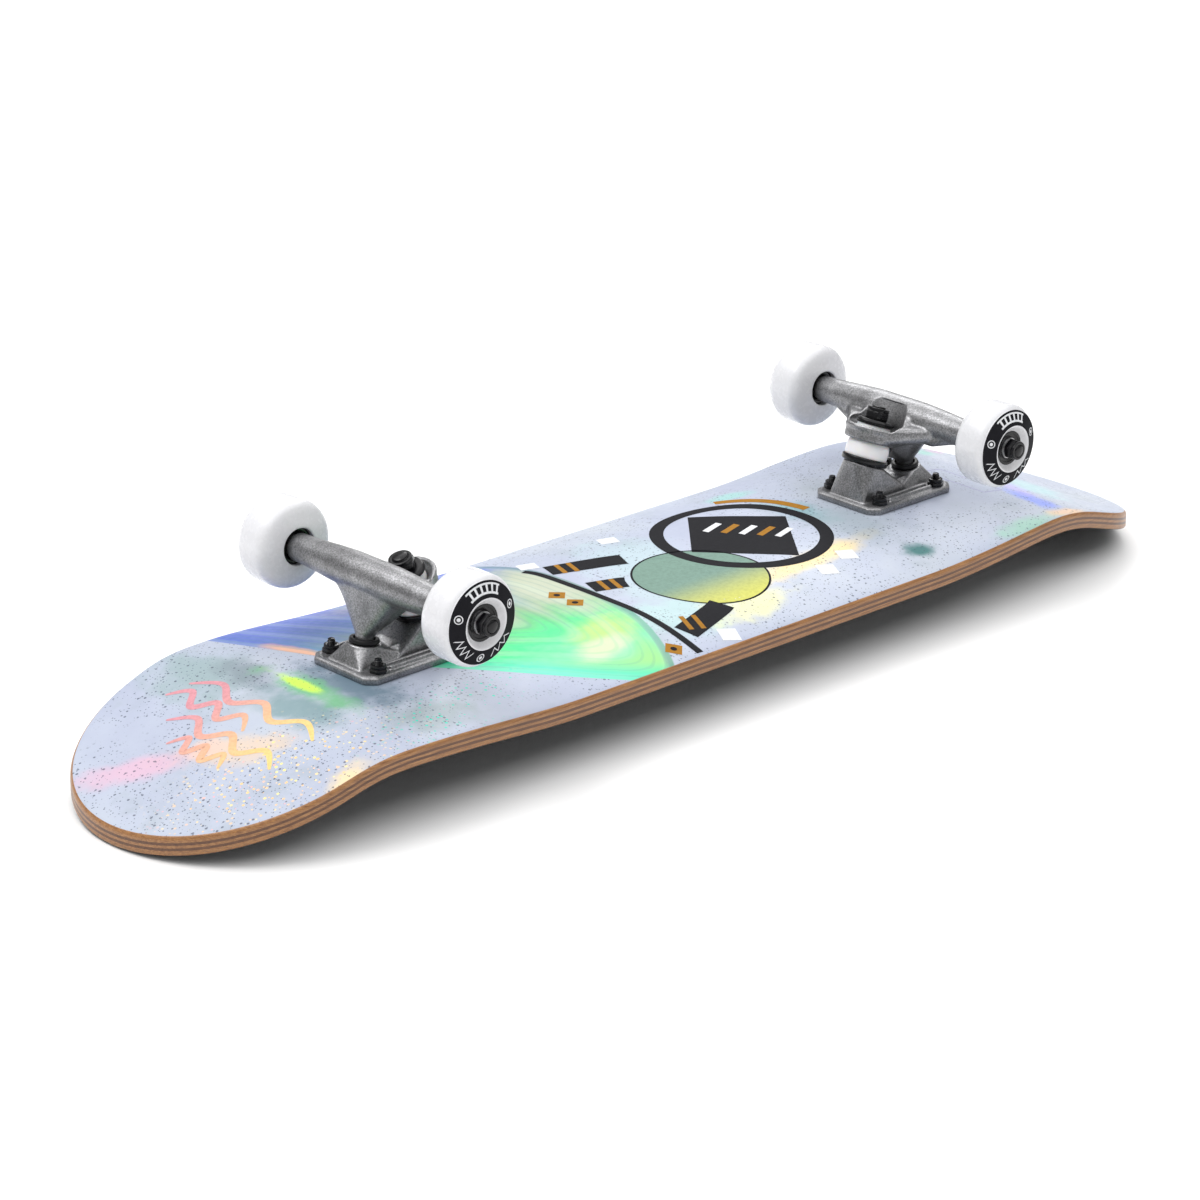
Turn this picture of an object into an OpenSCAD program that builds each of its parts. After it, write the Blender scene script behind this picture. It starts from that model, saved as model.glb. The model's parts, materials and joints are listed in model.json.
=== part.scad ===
// Complete skateboard, modelled as it lies deck down on its nose and tail with the wheels up.
// X runs from tail to nose, Y across the deck, Z up. The origin is on the floor under its middle.
// Trucks are drawn in their own frame: x outward to the deck's tip, z up from the graphic face.

/* [Deck] */
// Width of the deck
deck_w = 203.2; // [190:0.1:245]
// Length from the middle between the trucks to the nose tip
nose_len = 403; // [395:1:490]
// Length from the middle between the trucks to the tail tip
tail_len = 414; // [400:1:500]
// How far each kick reaches away from the flat
kick_rise = 41.5; // [34:0.5:50]
// Angle of the nose and tail kicks
kick_angle = 18.5; // [16:0.5:24]
// Bending radius between flat and kick
bend_r = 180; // [120:5:220]
// Half width of the flat middle of the concave
concave_flat = 31; // [29:1:40]
// Depth of the concave at the rails
concave_drop = 8.5; // [5:0.5:12]
// Thickness of one maple ply
ply_t = 1.5; // [1.2:0.05:1.8]
// Thickness of the printed film on the outer face
film_t = 0.25; // [0.2:0.05:0.4]
// Thickness of the grip tape
grip_t = 0.8; // [0.6:0.1:1.2]

/* [Outline] */
// Radius of the rail's taper towards the nose
nose_taper_r = 930; // [700:10:1200]
// Turn of the rail's taper towards the nose
nose_taper_turn = 8.2; // [6:0.1:10]
// Radius of the nose's corner
nose_corner_r = 82; // [70:1:100]
// Turn of the nose's corner
nose_corner_turn = 37.7; // [30:0.1:45]
// Radius of the rail's taper towards the tail
tail_taper_r = 805; // [600:5:1100]
// Turn of the rail's taper towards the tail
tail_taper_turn = 6.4; // [5:0.1:8]
// Radius of the tail's corner
tail_corner_r = 102; // [80:1:125]
// Turn of the tail's corner
tail_corner_turn = 31.6; // [25:0.1:38]

/* [Truck mounting] */
// Distance between the middles of the two bolt patterns
truck_spacing = 418.6; // [345:0.2:425]
// Bolt pattern along the deck
pattern_x = 53.5; // [50:0.1:58]
// Bolt pattern across the deck
pattern_y = 41.3; // [38:0.1:44]
// Diameter of a mounting bolt
bolt_d = 4.7; // [4:0.1:5.2]
// Clearance of the bolt in its hole, on the radius
bolt_gap = 0.4; // [0.1:0.05:0.8]
// Diameter of the countersunk head
head_d = 9.2; // [8:0.1:10]
// Across corners of the mounting nut
nut_d = 11; // [9.5:0.1:11.5]
// Height of the mounting nut with its locking collar
nut_h = 5.6; // [4:0.1:6.5]
// Thread showing past the mounting nut
bolt_end = 3.4; // [1:0.1:6]

/* [Baseplate] */
// Length of the flange
flange_l = 78; // [76:0.5:80]
// Width of the flange
flange_w = 55; // [53:0.5:58]
// Thickness of the flange
flange_t = 4; // [3:0.1:5]
// Chamfer on the flange's corners
flange_cut = 6; // [3:0.5:8]

/* [Kingpin] */
// Distance of the kingpin seat from the bolt pattern's middle, towards the other truck
seat_in = 19.2; // [17:0.1:20]
// Height of the lower bushing's foot above the deck
seat_h = 28.1; // [27:0.1:32]
// Lean of the kingpin towards the axle
kp_lean = 20.2; // [18:0.1:24]
// Diameter of the kingpin
kp_d = 9.52; // [8:0.01:10.5]
// Across corners of the kingpin nut
kp_nut_d = 16.2; // [14:0.1:17]
// Height of the kingpin nut
kp_nut_h = 7.6; // [6:0.1:9]
// Diameter of the lower bushing
low_bush_d = 27.4; // [24:0.1:28.4]
// Height of the lower bushing
low_bush_h = 11.5; // [10:0.1:14]
// Diameter of the upper bushing's wide end
top_bush_d = 23; // [20:0.1:23.4]
// Height of the upper bushing
top_bush_h = 7.3; // [6.6:0.1:9]
// Diameter of the lower washer
low_washer_d = 28.8; // [26:0.1:30]
// Diameter of the upper washer
top_washer_d = 24.6; // [21:0.1:24.8]
// Height of the cupped washers
washer_h = 3.2; // [2:0.1:3.6]
// Clearance of the bushings and washers round the kingpin, on the radius
kp_gap = 0.1; // [0.05:0.05:0.3]

/* [Hanger] */
// Distance of the axle from the bolt pattern's middle, towards the tip
axle_out = 12.1; // [10:0.1:14]
// Height of the axle above the deck
axle_h = 52.2; // [48:0.1:63]
// Width of the hanger between its end faces
hanger_w = 136; // [125:0.5:163.5]
// Diameter of the hanger's ends
hanger_end_d = 17; // [15:0.1:18.4]
// Diameter of the ring that holds the bushings
ring_d = 33.6; // [33:0.1:36]
// Thickness of the ring's web between the bushings
ring_web = 4; // [3:0.1:5]
// Height of the ring's skirt
ring_h = 9; // [8:0.1:10]
// Distance of the pivot from the bolt pattern's middle, towards the tip
pivot_out = 20.1; // [18:0.1:21]
// Height of the pivot above the deck
pivot_h = 12; // [11:0.1:14]
// Radius of the pivot's ball
pivot_r = 5.8; // [4.8:0.1:6.2]
// Clearance of the pivot in its cup
pivot_gap = 0.06; // [0.02:0.01:0.1]
// Lean of the pivot cup towards the kingpin
cup_lean = 8; // [0:1:12]

/* [Axle and wheels] */
// Axle showing past its nuts
axle_end = 0.6; // [0.2:0.1:4]
// Diameter of the axle
axle_d = 7.92; // [7.6:0.01:7.96]
// Clearance of the axle in the hanger, on the radius
axle_gap = 0.04; // [0.02:0.01:0.1]
// Diameter of a wheel
wheel_d = 54; // [49:0.5:65]
// Width of a wheel
wheel_w = 30; // [28:0.5:36]
// Radius of a wheel's shoulders
shoulder_r = 5; // [3:0.5:7]
// Outer diameter of a bearing
bearing_d = 22; // [21.8:0.1:24]
// Bore of a bearing
bearing_bore = 8; // [8:0.01:8.2]
// Width of a bearing
bearing_w = 7; // [6.5:0.1:8]
// Length of the spacer between the bearings
spacer_l = 10; // [8:0.5:12]
// Thickness of a speed washer
speed_t = 1; // [0.5:0.1:1.4]
// Across corners of an axle nut
axle_nut_d = 14.6; // [13:0.1:15]
// Height of an axle nut
axle_nut_h = 7; // [5:0.1:7.5]

/* [Hidden] */
$fn = 72;
NOSE = 1;
TAIL = -1;
LEFT = -1;
RIGHT = 1;

ply_count = 7;
deck_t = film_t + ply_count * ply_t + grip_t;
// The floor touches the lower edge of both tips
seat_z = kick_rise + deck_t / cos(kick_angle);
middle_x = (tail_len - nose_len) / 2;
margin = 12;
cap_root = 0.6;
ridge_h = 5;
bend_steps = 6;
concave_steps = 5;
deep = 260;
under_foot = -deep / 3;

kick_flat = bend_r * sin(kick_angle);
kick_straight = (kick_rise - bend_r * (1 - cos(kick_angle))) / tan(kick_angle);
function bend_start(len) = len - kick_flat - kick_straight;
rail_run = deck_w / 2 - concave_flat;
concave_r = (rail_run * rail_run + concave_drop * concave_drop) / (2 * concave_drop);
concave_turn = asin((rail_run + margin / 2) / concave_r);

// How far a cut runs past the face it opens
past = 1;

bolt_r = bolt_d / 2;
hole_r = bolt_r + bolt_gap;
head_r = head_d / 2;
// The head lies this far under the grip's face, with a short straight rim round it
head_inset = 0.1;
head_rim = 0.3;
head_h = head_r - bolt_r + 0.4;
head_foot = head_inset + head_rim - deck_t;
slot_w = 1.1;
slot_depth = 1.7;
bolt_top = flange_t + nut_h + bolt_end;

pedestal_top_w = 24;
pedestal_inset = 1.5;
pedestal_nose_w = 19;
nut_room = 0.8;
cup_lip_r = 9;
cup_body_r = 7.6;
cup_floor = -6.5;
cup_seat = 3.2;
cup_lip_t = 2.6;
boss_r = 10.4;

kp_r = kp_d / 2;
kp_head_r = 7;
kp_head_h = 6;
kp_head_foot = -24;
top_seat = low_bush_h + ring_web + top_bush_h;
kp_top = top_seat + washer_h + kp_nut_h + 1;
part_gap = 0.05;

// The hanger steers about the line from the middle of its ring's web to the pivot
ring_hole_r = 7.5;
ring_reach = 60;
ring_flare = ring_d / 2 - 1.6;
flare_h = 6;
pocket_r = top_bush_d / 2 + 0.5;
beam_mid_r = hanger_end_d / 2 + 2.5;
beam_mid_half = 22;
beam_end_l = 8;
web_r = 7.5;
web_half = 33;
neck_h = 11;
neck_r = 5.6;
arm_r = 6.5;
arm_half = 44;

axle_r = axle_d / 2;
race_bore_r = bearing_bore / 2;
race_r = bearing_d / 2;
ball_r = 1.98;
ball_gap = 0.05;
pitch_r = (race_r + race_bore_r) / 2 + 0.2;
outer_land_r = pitch_r + 1.1;
inner_land_r = pitch_r - 1.2;
balls_per_bearing = 7;
hub_in = hanger_w / 2 + speed_t;
hub_w = 2 * bearing_w + spacer_l;
wheel_mid = hub_in + hub_w / 2;
axle_len = 2 * (hub_in + hub_w + speed_t + axle_nut_h + axle_end);
lip_r = race_r + 3.5;
print_r = wheel_d / 2 - 2.4;
face_in = 4;
core_r = race_r - 1.8;
shield_t = 0.3;
shield_in = 0.4;
spacer_wall = 1.6;
nut_collar = 2;

// ---- flat arcs ----

// The part of a disc that lies beyond the chord from p to q, for arcs under half a turn.
// It reaches a little below the chord, so that it joins the shape that has the chord as a side.
module arc_cap(centre, r, p, q) {
    mid = (p + q) / 2 - centre;
    out = mid / norm(mid);
    intersection() {
        translate(centre) circle(r, $fn = 180);
        polygon([p - cap_root * out, q - cap_root * out, q + 2 * r * out, p + 2 * r * out]);
    }
}

// ---- deck ----

function dir(a) = [sin(a), cos(a)];

// Corner points and arc centres of one end's outline, from the straight rail to the tip's arc
function end_arcs(taper_r, taper, corner_r, corner) = let (
    c1 = [0, deck_w / 2 - taper_r],
    p1 = c1 + taper_r * dir(taper),
    c2 = p1 - corner_r * dir(taper),
    p2 = c2 + corner_r * dir(taper + corner),
    tip_r = p2[1] / cos(taper + corner),
    c3 = [p2[0] - tip_r * sin(taper + corner), 0]
) [c1, p1, c2, p2, c3, tip_r];

module end_outline(len, taper_r, taper, corner_r, corner) {
    arcs = end_arcs(taper_r, taper, corner_r, corner);
    rail_end = [len - arcs[4][0] - arcs[5], 0];
    p0 = rail_end + [0, deck_w / 2];
    p1 = rail_end + arcs[1];
    p2 = rail_end + arcs[3];
    tip_c = rail_end + arcs[4];
    polygon([[0, -deck_w / 2], [p0[0], -p0[1]], [p1[0], -p1[1]], [p2[0], -p2[1]],
        p2, p1, p0, [0, deck_w / 2]]);
    for (side = [0, 1]) mirror([0, side]) {
        arc_cap(rail_end + arcs[0], taper_r, p0, p1);
        arc_cap(rail_end + arcs[2], corner_r, p1, p2);
    }
    arc_cap(tip_c, arcs[5], p2, [p2[0], -p2[1]]);
}

module deck_outline() {
    end_outline(nose_len, nose_taper_r, nose_taper_turn, nose_corner_r, nose_corner_turn);
    mirror([1, 0])
        end_outline(tail_len, tail_taper_r, tail_taper_turn, tail_corner_r, tail_corner_turn);
}

// Points along a bend of the surface that lies t below one of radius r, in flat steps
function bend_points(c, r, t, turn, steps) = [for (i = [0:steps]) c + (r - t) * dir(turn * i / steps)];

// Side view of the surface that lies t below the graphic face, from the bend to past the tip
function kick_line(tip_x, t) = let (
    bend = bend_points([bend_start(tip_x), -bend_r], bend_r, t, kick_angle, bend_steps),
    tip = bend[bend_steps] + (kick_straight + margin + t) * [1, -tan(kick_angle)]
) concat(bend, [tip]);

// Cross section of the same surface, from a ridge that stands clear of the flat to past the rail
function concave_line(t) = let (
    bend = bend_points([concave_flat, -concave_r], concave_r, t, concave_turn, concave_steps),
    slope = (bend[0][1] - bend[1][1]) / (bend[1][0] - bend[0][0]),
    ridge = bend[0] + concave_flat / 3 * [-1, slope]
) concat([[ridge[0], ridge_h - t], ridge], [for (i = [1:concave_steps]) bend[i]],
    [bend[concave_steps] + (t + past) * [1, -1]]);

// A closed outline under a line that starts near the middle, with its other half on the left
module under_lines(right, left, foot) {
    far_right = right[len(right) - 1][0];
    far_left = left[len(left) - 1][0];
    polygon(concat([for (i = [len(right) - 1:-1:0]) right[i]], [for (p = left) [-p[0], p[1]]],
        [[-far_left, foot], [far_right, foot]]));
}

// Everything under the surface that lies t below the graphic face
module under_surface(t, foot) {
    span = deck_w + 2 * (margin + t);
    reach = nose_len + tail_len + 2 * (margin + t);
    intersection() {
        rotate([90, 0, 0]) translate([0, 0, -span / 2]) linear_extrude(span)
            under_lines(kick_line(nose_len, t), kick_line(tail_len, t), foot);
        rotate([90, 0, 90]) translate([0, 0, -tail_len - margin - t]) linear_extrude(reach)
            under_lines(concave_line(t), concave_line(t), foot - past);
    }
}

module at_bolts() {
    for (end = [-1, 1], x = [-1, 1], y = [-1, 1])
        translate([end * truck_spacing / 2 + x * pattern_x / 2, y * pattern_y / 2, 0]) children();
}

module bolt_passage() {
    foot = -deck_t - past;
    translate([0, 0, foot]) cylinder(h = deck_t + 2 * past, r = hole_r);
    translate([0, 0, foot]) cylinder(h = head_foot - foot, r = head_r + bolt_gap);
    translate([0, 0, head_foot]) cylinder(h = head_h, r1 = head_r + bolt_gap, r2 = hole_r);
}

// One layer of the deck between two depths under the graphic face
module deck_layer(top, bottom) {
    translate([middle_x, 0, seat_z]) difference() {
        intersection() {
            translate([0, 0, -deep / 2]) linear_extrude(deep) deck_outline();
            difference() {
                under_surface(top, under_foot);
                under_surface(bottom, under_foot - ridge_h);
            }
        }
        at_bolts() bolt_passage();
    }
}

module ply(i) {
    tones = ["burlywood", "tan", "saddlebrown", "burlywood", "sienna", "tan", "burlywood"];
    color(tones[i - 1]) deck_layer(film_t + (i - 1) * ply_t, film_t + i * ply_t);
}

module graphic_film() {
    color("lavender") deck_layer(0, film_t);
}

module grip_tape() {
    color("#202020") deck_layer(deck_t - grip_t, deck_t);
}

// ---- places on a truck ----

module at_truck(end) {
    translate([middle_x + end * truck_spacing / 2, 0, seat_z])
        rotate([0, 0, end > 0 ? 0 : 180]) children();
}

// Along the kingpin: z is 0 at the lower bushing's foot
module on_kingpin() {
    translate([-seat_in, 0, seat_h]) rotate([0, kp_lean, 0]) children();
}

// Along the pivot cup: the origin is the pivot's middle
module on_pivot() {
    translate([pivot_out, 0, pivot_h]) rotate([0, -cup_lean, 0]) children();
}

module at_pattern() {
    for (x = [-1, 1], y = [-1, 1])
        translate([x * pattern_x / 2, y * pattern_y / 2, 0]) children();
}

// ---- baseplate and its pieces ----

module flange_plan() {
    l = flange_l / 2;
    w = flange_w / 2;
    c = flange_cut;
    polygon([[l, w - c], [l - c, w], [c - l, w], [-l, w - c],
        [-l, c - w], [c - l, -w], [l - c, -w], [l, c - w]]);
}

// Pedestal: side view, front view and plan cut into each other
module pedestal() {
    l = flange_l / 2 - pedestal_inset;
    w = flange_w / 2;
    top = pedestal_top_w / 2;
    tip = pedestal_nose_w / 2;
    shoulder = pattern_x / 2 - 7.5;
    seat = [-seat_in, seat_h] - washer_h * dir(kp_lean);
    along = [cos(kp_lean), -sin(kp_lean)];
    seat_r = low_washer_d / 2 - 1;
    intersection() {
        rotate([90, 0, 0]) translate([0, 0, -w]) linear_extrude(2 * w)
            polygon([[-l, 1], seat - seat_r * along, seat + seat_r * along,
                [seat[0] + seat_r + 2.5, pivot_h + 1], [pivot_out - boss_r, pivot_h + 0.5],
                [pivot_out + boss_r - 2, pivot_h + 2], [l, 1]]);
        rotate([90, 0, 90]) translate([0, 0, -l]) linear_extrude(2 * l)
            polygon([[2 - w, 1], [-top, pivot_h + 8], [-top, seat_h + 9],
                [top, seat_h + 9], [top, pivot_h + 8], [w - 2, 1]]);
        linear_extrude(seat_h + 10)
            polygon([[l, tip], [shoulder, w], [-shoulder, w], [-l, tip],
                [-l, -tip], [-shoulder, -w], [shoulder, -w], [l, -tip]]);
    }
}

module baseplate() {
    color("darkgray") difference() {
        union() {
            linear_extrude(flange_t) flange_plan();
            pedestal();
            on_pivot() translate([0, 0, cup_floor]) cylinder(h = cup_seat - cup_floor, r = boss_r);
        }
        at_pattern() {
            translate([0, 0, -past]) cylinder(h = flange_t + 2 * past, r = hole_r);
            translate([0, 0, flange_t]) cylinder(h = seat_h, r = nut_d / 2 + nut_room);
        }
        on_kingpin() translate([0, 0, kp_head_foot - seat_h]) {
            cylinder(h = 2 * seat_h, r = kp_r + part_gap);
            cylinder(h = seat_h + kp_head_h + part_gap, r = kp_head_r + 0.3);
        }
        on_pivot() translate([0, 0, cup_floor - part_gap])
            cylinder(h = seat_h, r = cup_body_r + part_gap);
        translate([0, 0, -seat_h]) cube([2 * flange_l, 2 * flange_w, 2 * seat_h], center = true);
    }
}

module pivot_cup() {
    color("#1a1a1a") on_pivot() rotate_extrude() difference() {
        union() {
            translate([0, cup_floor]) square([cup_body_r, cup_seat - cup_floor]);
            translate([0, cup_seat]) square([cup_lip_r, cup_lip_t]);
        }
        intersection() {
            circle(pivot_r + pivot_gap);
            translate([0, -pivot_r - 1]) square([pivot_r + 1, pivot_r + 1]);
        }
        polygon([[0, -0.01], [pivot_r + pivot_gap, -0.01], [pivot_r + pivot_gap, 0],
            [cup_body_r - 0.3, cup_seat + cup_lip_t + 0.1], [0, cup_seat + cup_lip_t + 0.1]]);
    }
}

module kingpin() {
    color("#222222") on_kingpin() {
        translate([0, 0, kp_head_foot]) cylinder(h = kp_head_h, r = kp_head_r, $fn = 6);
        translate([0, 0, kp_head_foot]) cylinder(h = kp_top - kp_head_foot, r = kp_r);
    }
}

module bottom_washer() {
    color("#181818") on_kingpin() translate([0, 0, -washer_h]) rotate_extrude()
        translate([kp_r + kp_gap, 0]) square([low_washer_d / 2 - kp_r - kp_gap, washer_h]);
}

module top_washer() {
    color("#181818") on_kingpin() translate([0, 0, top_seat]) rotate_extrude()
        translate([kp_r + kp_gap, 0]) square([top_washer_d / 2 - kp_r - kp_gap, washer_h]);
}

module bottom_bushing() {
    r = low_bush_d / 2;
    color("white") on_kingpin() rotate_extrude()
        polygon([[kp_r + kp_gap, 0], [r - 1, 0], [r, 1], [r, low_bush_h - 2],
            [r - 0.8, low_bush_h], [kp_r + kp_gap, low_bush_h]]);
}

module top_bushing() {
    r = top_bush_d / 2;
    color("white") on_kingpin() translate([0, 0, low_bush_h + ring_web]) rotate_extrude()
        polygon([[kp_r + kp_gap, 0], [r, 0], [r - 2, top_bush_h], [kp_r + kp_gap, top_bush_h]]);
}

module lock_nut(across, h, bore, collar) {
    difference() {
        union() {
            cylinder(h = h - collar, r = across / 2, $fn = 6);
            cylinder(h = h, r = across / 2 - 1.1);
        }
        translate([0, 0, -past]) cylinder(h = h + 2 * past, r = bore);
    }
}

module kingpin_nut() {
    color("#181818") on_kingpin() translate([0, 0, top_seat + washer_h])
        lock_nut(kp_nut_d, kp_nut_h, kp_r + part_gap, 1.6);
}

module mounting_bolts() {
    color("#181818") at_pattern() difference() {
        union() {
            translate([0, 0, head_foot]) cylinder(h = bolt_top - head_foot, r = bolt_r);
            translate([0, 0, head_foot]) cylinder(h = head_h, r1 = head_r, r2 = bolt_r);
            translate([0, 0, head_foot - head_rim]) cylinder(h = head_rim, r = head_r);
        }
        translate([0, 0, -deck_t]) for (turn = [0, 90]) rotate([0, 0, turn])
            cube([head_r * 1.1, slot_w, 2 * slot_depth], center = true);
    }
}

module mounting_nuts() {
    color("#181818") at_pattern() translate([0, 0, flange_t])
        rotate([0, 0, 15]) lock_nut(nut_d, nut_h, bolt_r + part_gap, nut_collar);
}

// ---- hanger ----

module along_axle(y) {
    translate([axle_out, y, axle_h]) rotate([-90, 0, 0]) children();
}

module beam_half() {
    half = hanger_w / 2;
    end_r = hanger_end_d / 2;
    along_axle(0) cylinder(h = beam_mid_half, r = beam_mid_r);
    along_axle(beam_mid_half)
        cylinder(h = half - beam_end_l - beam_mid_half, r1 = beam_mid_r, r2 = end_r);
    along_axle(half - beam_end_l) cylinder(h = beam_end_l, r = end_r);
}

// Web from the beam down to the pivot's neck
module pivot_web() {
    hull() {
        along_axle(-web_half) cylinder(h = 2 * web_half, r = web_r, $fn = 32);
        on_pivot() translate([0, 0, neck_h]) cylinder(h = 1, r = neck_r, $fn = 32);
    }
    on_pivot() {
        sphere(pivot_r);
        cylinder(h = neck_h + 0.5, r = pivot_r - 0.8);
    }
}

// Arm from the beam to the ring round the kingpin
module ring_arm() {
    hull() {
        along_axle(-arm_half) cylinder(h = 2 * arm_half, r = arm_r, $fn = 32);
        on_kingpin() translate([0, 0, low_bush_h + part_gap])
            cylinder(h = ring_h, r = ring_d / 2 - 0.4, $fn = 48);
    }
    on_kingpin() translate([0, 0, low_bush_h + part_gap]) cylinder(h = ring_h, r = ring_d / 2);
}

// Room for the kingpin, the upper bushing, its washer and the nut, with a flare for steering
module ring_room() {
    ring_top = low_bush_h + ring_h;
    seat = low_bush_h + ring_web - part_gap;
    cylinder(h = ring_reach, r = ring_hole_r);
    translate([0, 0, seat]) cylinder(h = ring_reach, r = pocket_r);
    translate([0, 0, ring_top - 4]) cylinder(h = 4.2, r1 = pocket_r, r2 = ring_flare);
    translate([0, 0, ring_top + 0.1]) cylinder(h = flare_h, r1 = ring_flare, r2 = ring_d / 2);
    translate([0, 0, ring_top + flare_h]) cylinder(h = ring_reach / 2, r = ring_d / 2);
}

module hanger() {
    color("silver") difference() {
        union() {
            beam_half();
            mirror([0, 1, 0]) beam_half();
            pivot_web();
            ring_arm();
        }
        along_axle(-hanger_w / 2 - past) cylinder(h = hanger_w + 2 * past, r = axle_r + axle_gap);
        on_kingpin() ring_room();
    }
}

module axle() {
    color("dimgray") along_axle(-axle_len / 2) cylinder(h = axle_len, r = axle_r);
}

module washer_at(y) {
    along_axle(y) difference() {
        cylinder(h = speed_t, r = inner_land_r - shield_in);
        translate([0, 0, -past]) cylinder(h = speed_t + 2 * past, r = race_bore_r + part_gap);
    }
}

module speed_washers() {
    color("gray") for (side = [0, 1]) mirror([0, side, 0]) {
        washer_at(hanger_w / 2);
        washer_at(hub_in + hub_w);
    }
}

// ---- wheels: z runs outward along the axle from the wheel's middle ----

module at_wheel(end, side) {
    at_truck(end) translate([axle_out, end * side * wheel_mid, axle_h])
        rotate([-90 * end * side, 0, 0]) children();
}

module wheel() {
    half = wheel_w / 2;
    r = wheel_d / 2;
    edge = half - face_in;
    color("whitesmoke") rotate_extrude() difference() {
        union() {
            polygon([[0, -half], [lip_r, -half], [print_r, -edge], [r - shoulder_r, shoulder_r - edge],
                [r - shoulder_r, edge - shoulder_r], [print_r, edge], [lip_r, half], [0, half]]);
            intersection() {
                translate([r - 3 * shoulder_r, -edge + 0.4]) square([3 * shoulder_r, 2 * edge - 0.8]);
                union() {
                    for (s = [-1, 1]) translate([r - shoulder_r, s * (edge - shoulder_r)])
                        circle(shoulder_r);
                    translate([0, shoulder_r - edge]) square([r, 2 * (edge - shoulder_r)]);
                }
            }
        }
        translate([0, -half - past]) square([core_r, wheel_w + 2 * past]);
        for (s = [-1, 1]) mirror([0, s < 0 ? 1 : 0]) {
            translate([0, spacer_l / 2]) square([race_r + 0.01, wheel_w]);
            polygon([[0, hub_w / 2], [race_r + 0.3, hub_w / 2], [lip_r - 1.2, half + 0.1],
                [0, half + 0.1]]);
        }
    }
}

module at_bearings() {
    for (s = [0, 1]) mirror([0, 0, s]) translate([0, 0, spacer_l / 2 + bearing_w / 2]) children();
}

module outer_races() {
    w = bearing_w;
    color("#2a2a2a") at_bearings() rotate_extrude() {
        difference() {
            translate([outer_land_r, -w / 2]) square([race_r - outer_land_r, w]);
            translate([pitch_r, 0]) circle(ball_r + ball_gap);
        }
        for (s = [-1, 1]) translate([inner_land_r + shield_t / 2, s * (w / 2 - shield_in - shield_t / 2)])
            translate([0, -shield_t / 2]) square([outer_land_r - inner_land_r, shield_t]);
    }
}

module inner_races() {
    w = bearing_w;
    color("silver") at_bearings() rotate_extrude() difference() {
        translate([race_bore_r, -w / 2]) square([inner_land_r - race_bore_r, w]);
        translate([pitch_r, 0]) circle(ball_r + ball_gap);
    }
}

module bearing_balls() {
    color("lightgray") at_bearings() for (i = [0:balls_per_bearing - 1])
        rotate([0, 0, i * 360 / balls_per_bearing]) translate([pitch_r, 0, 0]) sphere(ball_r, $fn = 32);
}

module bearing_spacer() {
    color("gray") rotate_extrude()
        translate([race_bore_r + part_gap, -spacer_l / 2]) square([spacer_wall, spacer_l]);
}

module axle_nut() {
    color("#181818") translate([0, 0, hub_w / 2 + speed_t])
        lock_nut(axle_nut_d, axle_nut_h, race_bore_r, nut_collar);
}

graphic_film();
ply(1);  // deck_ply_1
ply(2);  // deck_ply_2
ply(3);  // deck_ply_3
ply(4);  // deck_ply_4
ply(5);  // deck_ply_5
ply(6);  // deck_ply_6
ply(7);  // deck_ply_7
grip_tape();
at_truck(NOSE) baseplate();  // nose_baseplate
at_truck(NOSE) pivot_cup();  // nose_pivot_cup
at_truck(NOSE) kingpin();  // nose_kingpin
at_truck(NOSE) bottom_washer();  // nose_bottom_washer
at_truck(NOSE) bottom_bushing();  // nose_bottom_bushing
at_truck(NOSE) top_bushing();  // nose_top_bushing
at_truck(NOSE) top_washer();  // nose_top_washer
at_truck(NOSE) kingpin_nut();  // nose_kingpin_nut
at_truck(NOSE) mounting_bolts();  // nose_mounting_bolts
at_truck(NOSE) mounting_nuts();  // nose_mounting_nuts
at_truck(NOSE) hanger();  // nose_hanger
at_truck(NOSE) axle();  // nose_axle
at_truck(NOSE) speed_washers();  // nose_speed_washers
at_truck(TAIL) baseplate();  // tail_baseplate
at_truck(TAIL) pivot_cup();  // tail_pivot_cup
at_truck(TAIL) kingpin();  // tail_kingpin
at_truck(TAIL) bottom_washer();  // tail_bottom_washer
at_truck(TAIL) bottom_bushing();  // tail_bottom_bushing
at_truck(TAIL) top_bushing();  // tail_top_bushing
at_truck(TAIL) top_washer();  // tail_top_washer
at_truck(TAIL) kingpin_nut();  // tail_kingpin_nut
at_truck(TAIL) mounting_bolts();  // tail_mounting_bolts
at_truck(TAIL) mounting_nuts();  // tail_mounting_nuts
at_truck(TAIL) hanger();  // tail_hanger
at_truck(TAIL) axle();  // tail_axle
at_truck(TAIL) speed_washers();  // tail_speed_washers
at_wheel(NOSE, LEFT) wheel();  // nose_left_wheel
at_wheel(NOSE, LEFT) outer_races();  // nose_left_outer_races
at_wheel(NOSE, LEFT) bearing_balls();  // nose_left_bearing_balls
at_wheel(NOSE, LEFT) inner_races();  // nose_left_inner_races
at_wheel(NOSE, LEFT) bearing_spacer();  // nose_left_bearing_spacer
at_wheel(NOSE, LEFT) axle_nut();  // nose_left_axle_nut
at_wheel(NOSE, RIGHT) wheel();  // nose_right_wheel
at_wheel(NOSE, RIGHT) outer_races();  // nose_right_outer_races
at_wheel(NOSE, RIGHT) bearing_balls();  // nose_right_bearing_balls
at_wheel(NOSE, RIGHT) inner_races();  // nose_right_inner_races
at_wheel(NOSE, RIGHT) bearing_spacer();  // nose_right_bearing_spacer
at_wheel(NOSE, RIGHT) axle_nut();  // nose_right_axle_nut
at_wheel(TAIL, LEFT) wheel();  // tail_left_wheel
at_wheel(TAIL, LEFT) outer_races();  // tail_left_outer_races
at_wheel(TAIL, LEFT) bearing_balls();  // tail_left_bearing_balls
at_wheel(TAIL, LEFT) inner_races();  // tail_left_inner_races
at_wheel(TAIL, LEFT) bearing_spacer();  // tail_left_bearing_spacer
at_wheel(TAIL, LEFT) axle_nut();  // tail_left_axle_nut
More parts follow.
